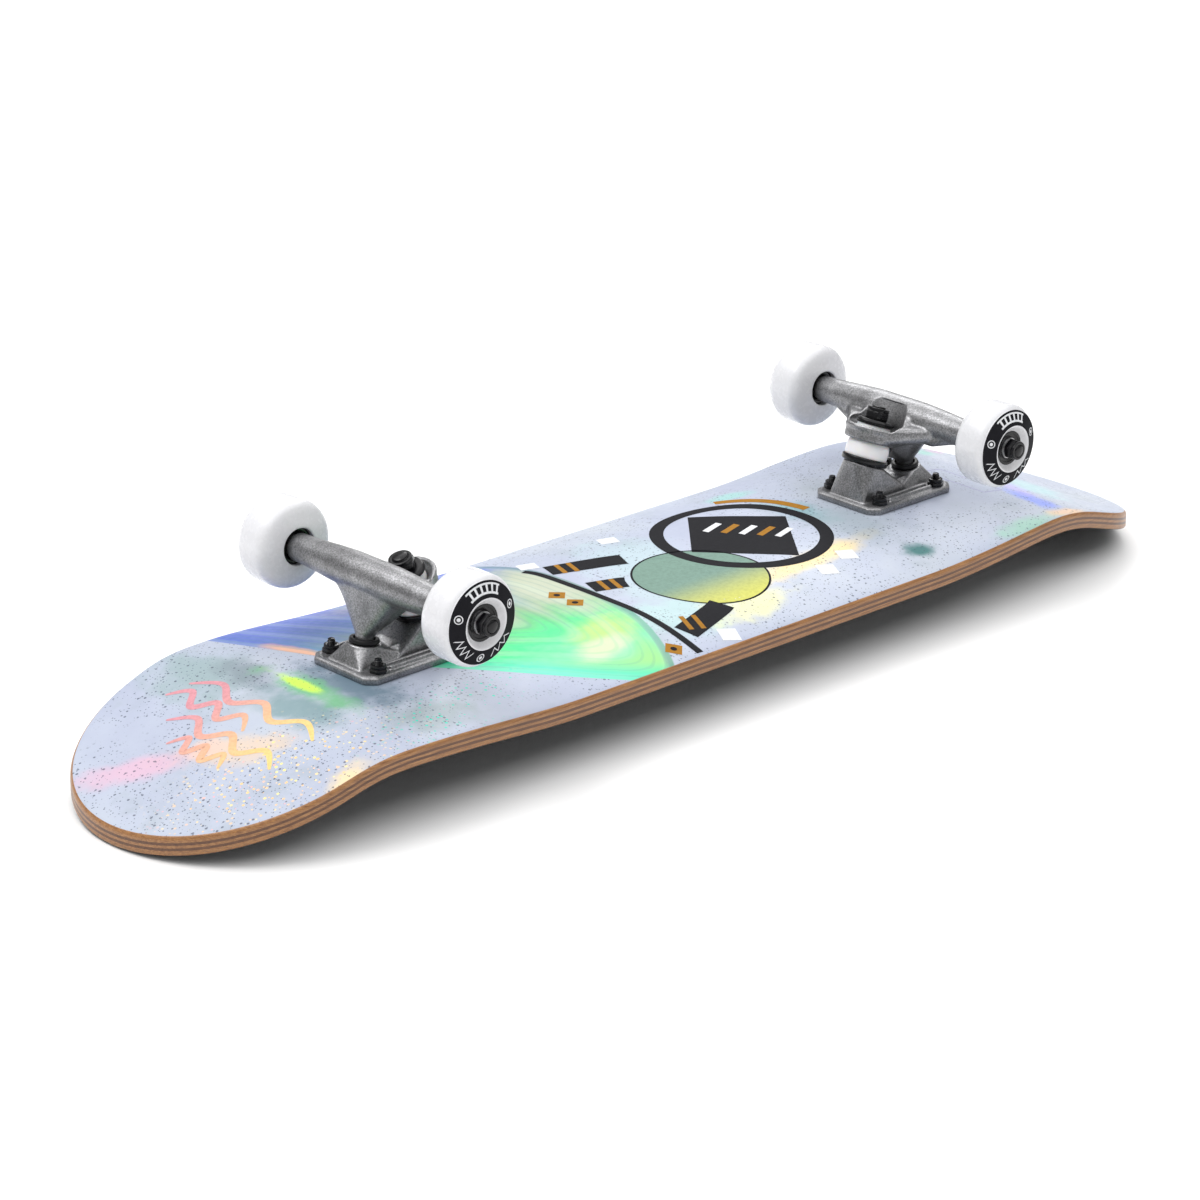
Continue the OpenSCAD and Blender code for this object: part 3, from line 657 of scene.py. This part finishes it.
def deck_z(x, y):
    """Height of the printed face."""
    end, far = deck_end(x)
    concave = CONCAVE_MID + (CONCAVE_KICK - CONCAVE_MID) * smooth((far - 147) / 120)
    side = concave * max((abs(y) - CONCAVE_FLAT) / (HALF_W - CONCAVE_FLAT), 0) ** 2
    return SEAT_Z - (end.drop(far) ** 2.5 + side ** 2.5) ** 0.4


def steepness(x, y, step=0.5):
    """How much thicker an upright cut through the deck is than the deck."""
    sx = (deck_z(x + step, y) - deck_z(x - step, y)) / (2 * step)
    sy = (deck_z(x, y + step) - deck_z(x, y - step)) / (2 * step)
    return sqrt(1 + sx * sx + sy * sy)


def edge_inset(depth):
    """How far the rounded edge draws in at a depth under the printed face."""
    near = min(depth, DECK_T - depth)
    return EDGE_ROUND - sqrt(max(EDGE_ROUND ** 2 - max(EDGE_ROUND - near, 0) ** 2, 0))


def deck_layer(top, bottom, loops=1, across=150, along=36):
    """A layer of the deck between two depths, its rim following the rounded edge."""
    bm = bmesh.new()
    bmesh.ops.create_grid(bm, x_segments=across, y_segments=along, size=1)
    faces = list(bm.faces)
    for _ in range(loops):
        grown = bmesh.ops.extrude_face_region(bm, geom=faces)["geom"]
        faces = [g for g in grown if isinstance(g, bmesh.types.BMFace)]
        for v in {v for f in faces for v in f.verts}:
            v.co.z -= 1
    for v in bm.verts:
        depth = top + (bottom - top) * -v.co.z / loops
        inset = edge_inset(depth)
        end = NOSE if v.co.x >= 0 else TAIL
        far = end.length * sin(abs(v.co.x) * pi / 2)
        wide = end.half_width(far)
        x = MIDDLE_X + (far * (1 - inset / end.length)) * (1 if v.co.x >= 0 else -1)
        y = v.co.y * wide * (1 - inset / HALF_W)
        v.co = (x, y, deck_z(x, y) - depth * steepness(x, y))
    mend(bm)
    return bm


def make_deck():
    film = deck_layer(0, FILM_T, across=220, along=56)
    piece("deck_film", film, FILM, "deck", "graphic_film", ["graphic_film"], sharp=50)
    for i in range(PLIES):
        node = f"deck_ply_{i + 1}"
        tone = "maple_dark" if i in (2, 4) else "maple"
        outer = i in (0, PLIES - 1)
        ply = deck_layer(FILM_T + i * PLY_T, FILM_T + (i + 1) * PLY_T, loops=3 if outer else 1)
        piece(f"{node}_veneer", ply, MAPLE[tone], "deck", tone, [node], sharp=50)
    tape = deck_layer(DECK_T - TAPE_T, DECK_T, loops=2)
    piece("grip_sheet", tape, TAPE, "deck", "grip_tape", ["grip_tape"], sharp=50)


# ---- printed shapes on the film ----

def on_deck(x, y, lift):
    return Vector((x, y, deck_z(x, y) + lift))


def smooth_line(points, t):
    """A point at share t of a smooth line through the given points."""
    last = len(points) - 1
    i = min(int(t * last), last - 1)
    f = t * last - i
    near = [Vector(points[min(max(i + k, 0), last)]) for k in (-1, 0, 1, 2)]
    a, b, c, d = near
    curve = 2 * b + (c - a) * f + (2 * a - 5 * b + 4 * c - d) * f * f
    return 0.5 * (curve + (3 * b - a - 3 * c + d) * f ** 3)


def ribbon(points, width, lift, material, taper=0.0, steps=None):
    """A brush stroke along a smooth line; taper thins its two ends."""
    steps = steps or 8 * len(points)

    def shape(u, v):
        here = smooth_line(points, u)
        ahead = (smooth_line(points, min(u + 0.01, 1)) - smooth_line(points, max(u - 0.01, 0))).normalized()
        wide = width * (1 - taper * (2 * u - 1) ** 4)
        side = Vector((-ahead.y, ahead.x)) * wide * (v - 0.5)
        return on_deck(here.x + side.x, here.y + side.y, lift)
    return drawn(steps, 3, shape, material)


def ring_print(x, y, r_in, r_out, lift, material, start=0, end=360):
    """A printed ring, or an arc of one."""
    def shape(u, v):
        angle = radians(start + (end - start) * u)
        r = r_in + (r_out - r_in) * v
        return on_deck(x + r * cos(angle), y + r * sin(angle), lift)
    return drawn(72, 4, shape, material)


def patch(corners, lift, material):
    """A four-sided printed area, split finely enough to follow the deck."""
    a, b, c, d = (Vector(p) for p in corners)

    def shape(u, v):
        p = a.lerp(b, u).lerp(d.lerp(c, u), v)
        return on_deck(p.x, p.y, lift)
    return drawn(24, 16, shape, material)


def stripes(points, width, lift, material, count, gap):
    """Short bars across a line, evenly spaced from its start."""
    a, b = (Vector(p) for p in points)
    ahead = (b - a).normalized()
    side = Vector((-ahead.y, ahead.x)) * width / 2
    bars = []
    for i in range(count):
        here = a + ahead * gap * i
        bars.append(ribbon([here - side, here + side], 3.2, lift, material))
    return bars


def make_artwork():
    """Plain geometry in black, sage, ochre and white, and a few wavy brush strokes by the tail."""
    inks = ["black", "white", "ochre", "sage", "brush", "violet"]
    black, white, ochre, sage, brush, violet = range(6)
    low, mid, top = 0.06, 0.1, 0.14
    parts = [
        # a thin arc along the swirl's edge, with ochre diamonds beside it
        ribbon([(-53, 52), (-50, 40), (-48, 0), (-48, -50), (-50, -98)], 5, mid, black),
        # a sage disc behind a black square that stands on its corner
        ring_print(22, -26, 0, 43, low, sage),
        ring_print(22, -26, 41.6, 43, mid, black),
        patch([(46, 6), (90, 54), (136, 12), (92, -42)], mid, black),
        # a ring round the square
        ring_print(91, 7, 49, 58, mid, black),
        # three slanted bars that end at the disc
        ribbon([(-42, 42), (-6, 30), (6, 25)], 16, top, black),
        ribbon([(-42, 4), (-24, -2), (-20, -4)], 16, top, black),
        ribbon([(-42, -78), (-8, -68), (2, -64)], 16, top, black),
        # an ochre arc outside the ring
        ring_print(91, 7, 62, 69, mid, ochre, 5, 60),
    ]
    for x, y in ((-66, 8), (-66, -8), (-62, -88)):
        parts.append(patch([(x - 7, y), (x, y + 7), (x + 7, y), (x, y - 7)], mid, ochre))
        parts.append(ring_print(x, y, 0, 2, top, black))
    for x, y in ((24, 58), (-44, 58), (-20, -92), (92, -66), (118, -58)):
        parts.append(patch([(x - 8, y - 3), (x - 3, y + 8), (x + 8, y + 3), (x + 3, y - 8)], mid, white))
    for y in (37, -1, -72):
        parts += stripes([(-34, y + 2), (-20, y - 3)], 16, top + 0.04, ochre, 2, 8)
    for i in range(5):
        x, y = 78 + 7 * i, 26 - 9 * i
        parts.append(ribbon([(x, y), (x + 17, y + 5)], 4.4, top, ochre if i % 2 else white))
    # wavy strokes
    waves = ((-298, 60, -50), (-312, 64, -6), (-327, 44, -48), (-341, 26, -20))
    for i, (x, high, low_y) in enumerate(waves):
        bends = [(x + (5 if k % 2 else -5), high + (low_y - high) * k / 6) for k in range(7)]
        parts.append(ribbon(bends, 4.6, low + 0.02 * i, brush, 0.7, 60))
    # an empty panel
    panel = [(268, 14), (268, -40), (286, -40), (286, 14)]
    for a, b in zip(panel, panel[1:] + panel[:1]):
        parts.append(ribbon([a, b], 1.2, low, violet))
    art = joined(*parts)
    bmesh.ops.recalc_face_normals(art, faces=art.faces)
    for f in art.faces:
        if f.normal.z < 0:
            f.normal_flip()
    piece("deck_artwork", art, [INKS[name] for name in inks], "deck", "graphic_film")


# ---- bolts, nuts and washers ----

def thread(r, low, high, pitch):
    """A threaded stub with a chamfered end."""
    profile = [(0, low), (r - 0.3, low)]
    z = low
    while z + pitch < high - 0.4:
        profile += [(r, z + pitch * 0.35), (r, z + pitch * 0.5), (r - 0.42, z + pitch)]
        z += pitch
    profile += [(r - 0.3, high - 0.3), (r - 0.8, high), (0, high)]
    return turned(profile, 32)


def hex_nut(across, height, bore, collar):
    """A locking nut: a chamfered hexagon under a round collar."""
    bm = bmesh.new()
    bmesh.ops.create_cone(bm, cap_ends=True, segments=6, radius1=across / 2, radius2=across / 2,
                          depth=height - collar, matrix=shift(0, 0, (height - collar) / 2))
    soften(bm, 0.55, 2)
    r = across / 2 - 1.0
    ring = turned([(bore, height - collar - 0.6), (r, height - collar - 0.6), (r, height), (bore, height)],
                  40, 0.45)
    return joined(bm, ring)


def make_mounting(end):
    place = at_truck(end)
    nuts = joined(*[placed(hex_nut(11, 5.6, 2.4, 2), spot @ shift(0, 0, 4) @ turn(15 + 20 * i, "Z"))
                    for i, spot in enumerate(BOLT_SPOTS)])
    piece(f"{end}_lock_nuts", nuts, BLACK, "deck", "black_steel", [f"{end}_mounting_nuts"], place)
    bolts = []
    for spot in BOLT_SPOTS:
        bolts.append(placed(thread(2.35, 3, 13, 0.75), spot))
        head = turned([(0, -8.2), (1.2, -8.2), (4.5, -DECK_T + 0.35), (4.6, -DECK_T + 0.1),
                       (0, -DECK_T + 0.1)], 40)
        cross = [block((5.2, 1.0, 3), shift(0, 0, -DECK_T) @ turn(angle, "Z")) for angle in (45, 135)]
        bolts.append(placed(carved(head, cross), spot))
        bolts.append(placed(rod(2.3, -10.4, 3.2), spot))
    piece(f"{end}_bolts", joined(*bolts), BLACK, "deck", "black_steel", [f"{end}_mounting_bolts"], place)


# ---- truck castings ----

def flange(half_l, half_w, cut, low, high):
    """A plate with cut corners."""
    bm = bmesh.new()
    corners = [(half_l, half_w - cut), (half_l - cut, half_w), (cut - half_l, half_w),
               (-half_l, half_w - cut), (-half_l, cut - half_w), (cut - half_l, -half_w),
               (half_l - cut, -half_w), (half_l, cut - half_w)]
    face = bm.faces.new([bm.verts.new((x, y, low)) for x, y in corners])
    top = bmesh.ops.extrude_face_region(bm, geom=[face])["geom"]
    for v in top:
        if isinstance(v, bmesh.types.BMVert):
            v.co.z = high
    return mend(bm)


def pedestal_foot(from_x, to_x, half_w):
    """The pedestal's outline where it leaves the plate."""
    return block((to_x - from_x, 2 * half_w, 0.8), shift((from_x + to_x) / 2, 0, 3.8))


def make_baseplate(end):
    ribs = [block((40, 2.2, 5), shift(0, side * y, 4.9)) for side in (-1, 1) for y in (17.8, 22.8)]
    solids = joined(
        flange(39, 27.5, 6, 0, 4.2), flange(37.4, 26, 5.6, 1, 4.9),
        hull_of(pedestal_foot(-35.5, 8, 15), rod(13.0, -4.2, -3.25, KINGPIN)),
        hull_of(pedestal_foot(-6, 35.5, 15), rod(9.6, -2, 2.4, PIVOT), rod(8, 4, 5, shift(-4, 0, 0))),
        hull_of(pedestal_foot(-20, 22, 15), block((14, 18, 1), shift(3, 0, 11.5))),
        rod(10.2, -7, 2.6, PIVOT), rod(8.5, 3, 9, shift(10, 0, 0)), *ribs)
    cuts = [rod(2.75, -1, 9, spot) for spot in BOLT_SPOTS]
    cuts += [rod(7.7, -6.6, 20, PIVOT), rod(4.8, -26, 10, KINGPIN)]
    casting = cast(solids, 0.62, 2, cuts)
    piece(f"{end}_base_casting", casting, CAST, "deck", "cast_aluminium", [f"{end}_baseplate"],
          at_truck(end), 50)


def web_section(u, v):
    """Skin of the web from the beam down to the neck: u goes round, v goes down."""
    top = Vector((AXLE_OUT, AXLE_H))
    foot = Vector((CUP_OUT - 8 * sin(radians(CUP_LEAN)), CUP_H + 8 * cos(radians(CUP_LEAN))))
    centre = top.lerp(foot, v)
    half_y = 5.5 + 26 * (1 - v) ** 0.9 + 22 * (1 - v) ** 6
    half_x = 5.0 + 5.2 * (1 - v) ** 1.2
    angle = 2 * pi * u
    c, s = cos(angle), sin(angle)
    x = abs(c) ** 0.8 * (1 if c > 0 else -1) * half_x
    y = abs(s) ** 0.8 * (1 if s > 0 else -1) * half_y
    return Vector((centre.x + x, y, centre.y))


def make_hanger(end):
    barrel = [(0, -HANGER_HALF), (8.5, -HANGER_HALF), (8.6, -60), (9.3, -48), (10.4, -34), (11.3, -18)]
    barrel += [(r, -y) for r, y in reversed(barrel)]
    web = drawn(40, 24, web_section)
    mend(web)
    bmesh.ops.holes_fill(web, edges=[e for e in web.edges if len(e.link_faces) == 1], sides=0)
    bmesh.ops.recalc_face_normals(web, faces=web.faces)
    ring = rod(17.2, 11.6, 20.4, KINGPIN)
    skirt = hull_of(placed(rod(4.2, -38, 38), AXLE @ shift(-4, 5, 0)), rod(16.2, 12.4, 18.8, KINGPIN))
    wing = hull_of(placed(rod(3.4, -57, 57), AXLE @ shift(-1, 3, 0)),
                   placed(rod(3.4, -36, 36), AXLE @ shift(-7, 9, 0)))
    spine = hull_of(rod(5.0, 7, 10, PIVOT), rod(15.5, 11.8, 13.5, KINGPIN), placed(rod(6, -22, 22), AXLE))
    lip = placed(turned([(15.0, 18.6), (18.2, 18.6), (18.2, 21.2), (15.0, 21.2)], 64), KINGPIN)
    neck = rod(5.3, -1, 12, PIVOT, 5.6)
    fin = block((13, 2.6, 12), shift(11, 0, 30) @ turn(-35, "Y"), 0.8)
    solids = joined(placed(turned(barrel), AXLE), web, ring, skirt, wing, spine, lip, neck, fin)
    well = placed(turned([(0, 15.55), (12.0, 15.55), (12.4, 17.2), (15.0, 19.4), (15.5, 24), (0, 24)], 64),
                  KINGPIN)
    pocket = placed(turned([(0, 20.6), (12.2, 20.6), (13.6, 21.8), (14.2, 40), (0, 40)], 64),
                    KINGPIN @ Matrix.Diagonal((1, 1.45, 1, 1)))
    opening = block((40, 38, 20), KINGPIN @ shift(-20, 0, 31.4))
    cuts = [well, pocket, opening, rod(7.5, 0, 30, KINGPIN),
            placed(rod(4.0, -70, 70), AXLE), rod(15.2, 2, 11.6, KINGPIN)]
    casting = cast(solids, 0.8, 7, cuts)
    ball_r = 5.8
    bowl = [(ball_r * sin(radians(a)), -ball_r * cos(radians(a))) for a in range(12, 120, 12)]
    ball = turned([(0, -ball_r)] + bowl + [(0, 5)], 32)
    casting = joined(casting, placed(ball, PIVOT))
    piece(f"{end}_hanger_casting", casting, CAST, f"{end}_truck", "cast_aluminium", [f"{end}_hanger"],
          at_truck(end), 60)


def make_kingpin_set(end):
    place = at_truck(end) @ KINGPIN
    rest = [
        ("lower_cup", turned([(4.86, -3.2), (13.2, -3.2), (14.9, -2.2), (15.1, 0.4), (14.5, 1.4),
                              (14.2, 0), (4.86, 0)], 72, 0.3), BLACK, "black_steel", "bottom_washer"),
        ("upper_cup", turned([(4.86, 22.8), (11.4, 22.4), (12.3, 23.2), (12.3, 24.6), (11.0, 26),
                              (4.86, 26)], 72, 0.3), BLACK, "black_steel", "top_washer"),
        ("kingpin_locknut", placed(hex_nut(16.2, 7.6, 4.7, 2.2), shift(0, 0, 26) @ turn(12, "Z")), BLACK,
         "black_steel", "kingpin_nut"),
    ]
    for name, bm, material, slot_name, node in rest:
        piece(f"{end}_{name}", bm, material, "deck", slot_name, [f"{end}_{node}"], place)
    pin = joined(rod(4.7, -24, 25), thread(4.76, 24, 34.8, 1.1), rod(7, -24, -18, sides=6))
    piece(f"{end}_kingpin_bolt", pin, BLACK, "deck", "black_steel", [f"{end}_kingpin"], place)
    lower = turned([(4.9, 0.05), (13.2, 0.05), (13.9, 3), (14.0, 6), (13.7, 9), (13.0, 11.45),
                    (4.9, 11.45)], 80, 0.5)
    upper = turned([(4.9, 15.6), (11.4, 15.6), (11.5, 18), (10.6, 22.7), (4.9, 22.7)], 80, 0.5)
    for name, bm, low, high, node in (("lower_bushing", lower, 0, 11.5, "bottom_bushing"),
                                      ("upper_bushing", upper, 22.8, 15.5, "top_bushing")):
        obj = piece(f"{end}_{name}", bm, BUSHING, "deck", "white_bushing", [f"{end}_{node}"], place,
                    rides=False)
        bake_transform(obj)
    cup = turned([(0, -6.45), (7.6, -6.45), (7.6, 3.2), (8.8, 3.2), (9.0, 4.4), (8.5, 5.7), (6.6, 5.8),
                  (6.0, 0), (4.2, -4.4), (0, -6)], 64, 0.3)
    piece(f"{end}_cup", cup, RUBBER, "deck", "black_rubber", [f"{end}_pivot_cup"], at_truck(end) @ PIVOT)


# ---- wheels ----

def make_wheel(end, side):
    body = f"{end}_{side}_wheel"
    place = at_wheel(end, side)
    bore = [(11.3, -14.6), (11.3, -5), (9.2, -5), (9.2, 5), (11.0, 5), (11.0, 11.8), (11.4, 12.2),
            (12.9, 12.9), (13.9, 14.6), (14.7, 15.0), (CONE_IN_R, CONE_IN_Z), (CONE_OUT_R, CONE_OUT_Z)]
    shoulder = [(WHEEL_R - SHOULDER_R + SHOULDER_R * cos(radians(a)), 6 + SHOULDER_R * sin(radians(a)))
                for a in range(60, -1, -10)]
    dome = [(WHEEL_R, -6.2), (26.7, -8.2), (25.9, -10.0), (24.6, -11.5), (22.8, -12.6), (20.4, -13.5),
            (17.6, -14.2), (14.8, -14.75), (12.4, -15.0), (11.7, -14.95)]
    wheel = turned(bore + shoulder + [(WHEEL_R, 3)] + dome, 112)
    piece(f"{body}_tyre", wheel, URETHANE, body, "wheel_urethane", [body], place, 40)
    # printed ring on the cone between the core's lip and the shoulder
    inner_r, outer_r = 15.2, 24.4

    def cone_z(r):
        return CONE_IN_Z + (r - CONE_IN_R) * (CONE_OUT_Z - CONE_IN_Z) / (CONE_OUT_R - CONE_IN_R)

    def printed(r0, r1, a0, a1, lift, material, steps=8):
        def shape(u, v):
            angle = radians(a0 + (a1 - a0) * u)
            r = r0 + (r1 - r0) * v
            return Vector((r * cos(angle), r * sin(angle), cone_z(r) + lift))
        return drawn(steps, 4, shape, material)

    def zigzag(a0, a1, teeth, lift):
        points = [(17.4 if i % 2 else 22.2, a0 + (a1 - a0) * i / teeth) for i in range(teeth + 1)]

        def shape(u, v):
            t = u * teeth
            i = min(int(t), teeth - 1)
            r = points[i][0] + (points[i + 1][0] - points[i][0]) * (t - i)
            a = radians(points[i][1] + (points[i + 1][1] - points[i][1]) * (t - i))
            r += (v - 0.5) * 1.3
            return Vector((r * cos(a), r * sin(a), cone_z(r) + lift))
        return drawn(teeth * 4, 2, shape, 1)

    def dot(centre, r_in, r_out):
        c = radians(centre)

        def shape(u, v):
            a = 2 * pi * u
            r = r_in + (r_out - r_in) * v
            x = 20 * cos(c) + r * cos(a)
            y = 20 * sin(c) + r * sin(a)
            return Vector((x, y, cone_z(hypot(x, y)) + 0.12))
        return drawn(24, 2, shape, 1)

    parts = [printed(inner_r, outer_r, 0, 360, 0.06, 0, 112)]
    parts += [printed(18.2, 22.6, 60 + 11 * i, 64 + 11 * i, 0.12, 1) for i in range(6)]
    parts += [printed(17.4, 18.6, 58, 124, 0.12, 1, 24), printed(22.2, 23.2, 58, 124, 0.12, 1, 24)]
    parts += [zigzag(195, 240, 7, 0.12), zigzag(285, 330, 6, 0.12)]
    for centre in (160, 262, 20):
        parts += [dot(centre, 2.0, 2.6), dot(centre, 0, 1.1)]
    band = joined(*parts)
    for f in band.faces:
        if f.normal.z < 0:
            f.normal_flip()
    piece(f"{body}_print", band, [INKS["black"], INKS["white"]], body, "wheel_urethane", (), place)
    # bearings
    section = [(9.0, 5.1), (10.98, 5.1), (10.98, 12), (9.2, 12), (9.0, 11.6), (6.7, 11.5), (6.7, 11.1),
               (9.0, 11.1)]
    shields = [placed(turned(section, 64, 0.15), facing) for facing in (turn(180, "X"), Matrix())]
    piece(f"{body}_bearing_rings", joined(*shields), BLACK, body, "black_steel",
          [f"{end}_{side}_outer_races"], place, 40)
    nut = placed(hex_nut(13.8, 7, 4.0, 2), shift(0, 0, 13) @ turn(8, "Z"))
    piece(f"{end}_{side}_locknut", nut, BLACK, f"{end}_truck", "black_steel",
          [f"{end}_{side}_axle_nut"], place)


def make_axle(end):
    parts = [rod(3.9, -94, 94)]
    for s in (0, 180):
        parts.append(placed(thread(3.92, 90, 101.5, 1.0), turn(s, "X")))
    piece(f"{end}_axle_rod", joined(*parts), BLACK, f"{end}_truck", "steel", [f"{end}_axle"],
          at_truck(end) @ AXLE)


def repaint_cad():
    for name, node in frame["nodes"].items():
        if name.endswith(("inner_races", "bearing_spacer", "bearing_balls", "speed_washers")):
            node.data.materials.clear()
            node.data.materials.append(STEEL)


# ---- stage ----

def make_stage():
    bm = bmesh.new()
    bmesh.ops.create_grid(bm, x_segments=1, y_segments=1, size=12)
    mesh = bpy.data.meshes.new("floor")
    bm.to_mesh(mesh)
    bm.free()
    floor = bpy.data.objects.new("floor", mesh)
    bpy.context.scene.collection.objects.link(floor)
    s = Shader("floor", (0.95, 0.95, 0.95), 0.8)
    s.surface.inputs["Specular IOR Level"].default_value = 0.1
    mesh.materials.append(s.material)

    world = bpy.data.worlds.new("studio")
    bpy.context.scene.world = world
    world.use_nodes = True
    world.node_tree.nodes["Background"].inputs["Color"].default_value = (1, 1, 1, 1)
    world.node_tree.nodes["Background"].inputs["Strength"].default_value = 0.38

    def softbox(name, place, aim, size, power):
        light = bpy.data.lights.new(name, "AREA")
        light.shape = "RECTANGLE"
        light.size, light.size_y = size
        light.energy = power
        obj = bpy.data.objects.new(name, light)
        obj.location = place
        obj.rotation_euler = (Vector(aim) - Vector(place)).to_track_quat("-Z", "Y").to_euler()
        bpy.context.scene.collection.objects.link(obj)

    softbox("overhead", (0, 0, 4), (0, 0, 0), (9, 9), 345)
    softbox("key", (-0.9, 0.6, 1.7), (0, 0, 0.05), (1.2, 0.8), 12)
    softbox("rim", (1.4, 1.2, 1.2), (0.1, 0, 0.05), (1.0, 0.5), 9)


def make_camera():
    camera = bpy.data.cameras.new("camera")
    camera.sensor_width = 36
    camera.lens = 113.2
    camera.shift_x = -0.0183
    obj = bpy.data.objects.new("camera", camera)
    azimuth, height, roll = radians(-44.14), radians(21.40), radians(0.83)
    back = Vector((sin(azimuth) * cos(height), -cos(azimuth) * cos(height), sin(height)))
    right = Vector((0, 0, 1)).cross(back).normalized()
    up = back.cross(right)
    level, tilted = right * cos(roll) + up * sin(roll), up * cos(roll) - right * sin(roll)
    obj.matrix_world = Matrix((level, tilted, back)).transposed().to_4x4()
    obj.location = (-1.5053, -1.5313, 0.8770)
    bpy.context.scene.collection.objects.link(obj)
    bpy.context.scene.camera = obj


make_camera()
make_deck()
make_artwork()
for end in ENDS:
    make_mounting(end)
    make_baseplate(end)
    make_hanger(end)
    make_kingpin_set(end)
    make_axle(end)
    for side in SIDES:
        make_wheel(end, side)
repaint_cad()
make_stage()
bpy.context.scene.view_settings.view_transform = "Standard"
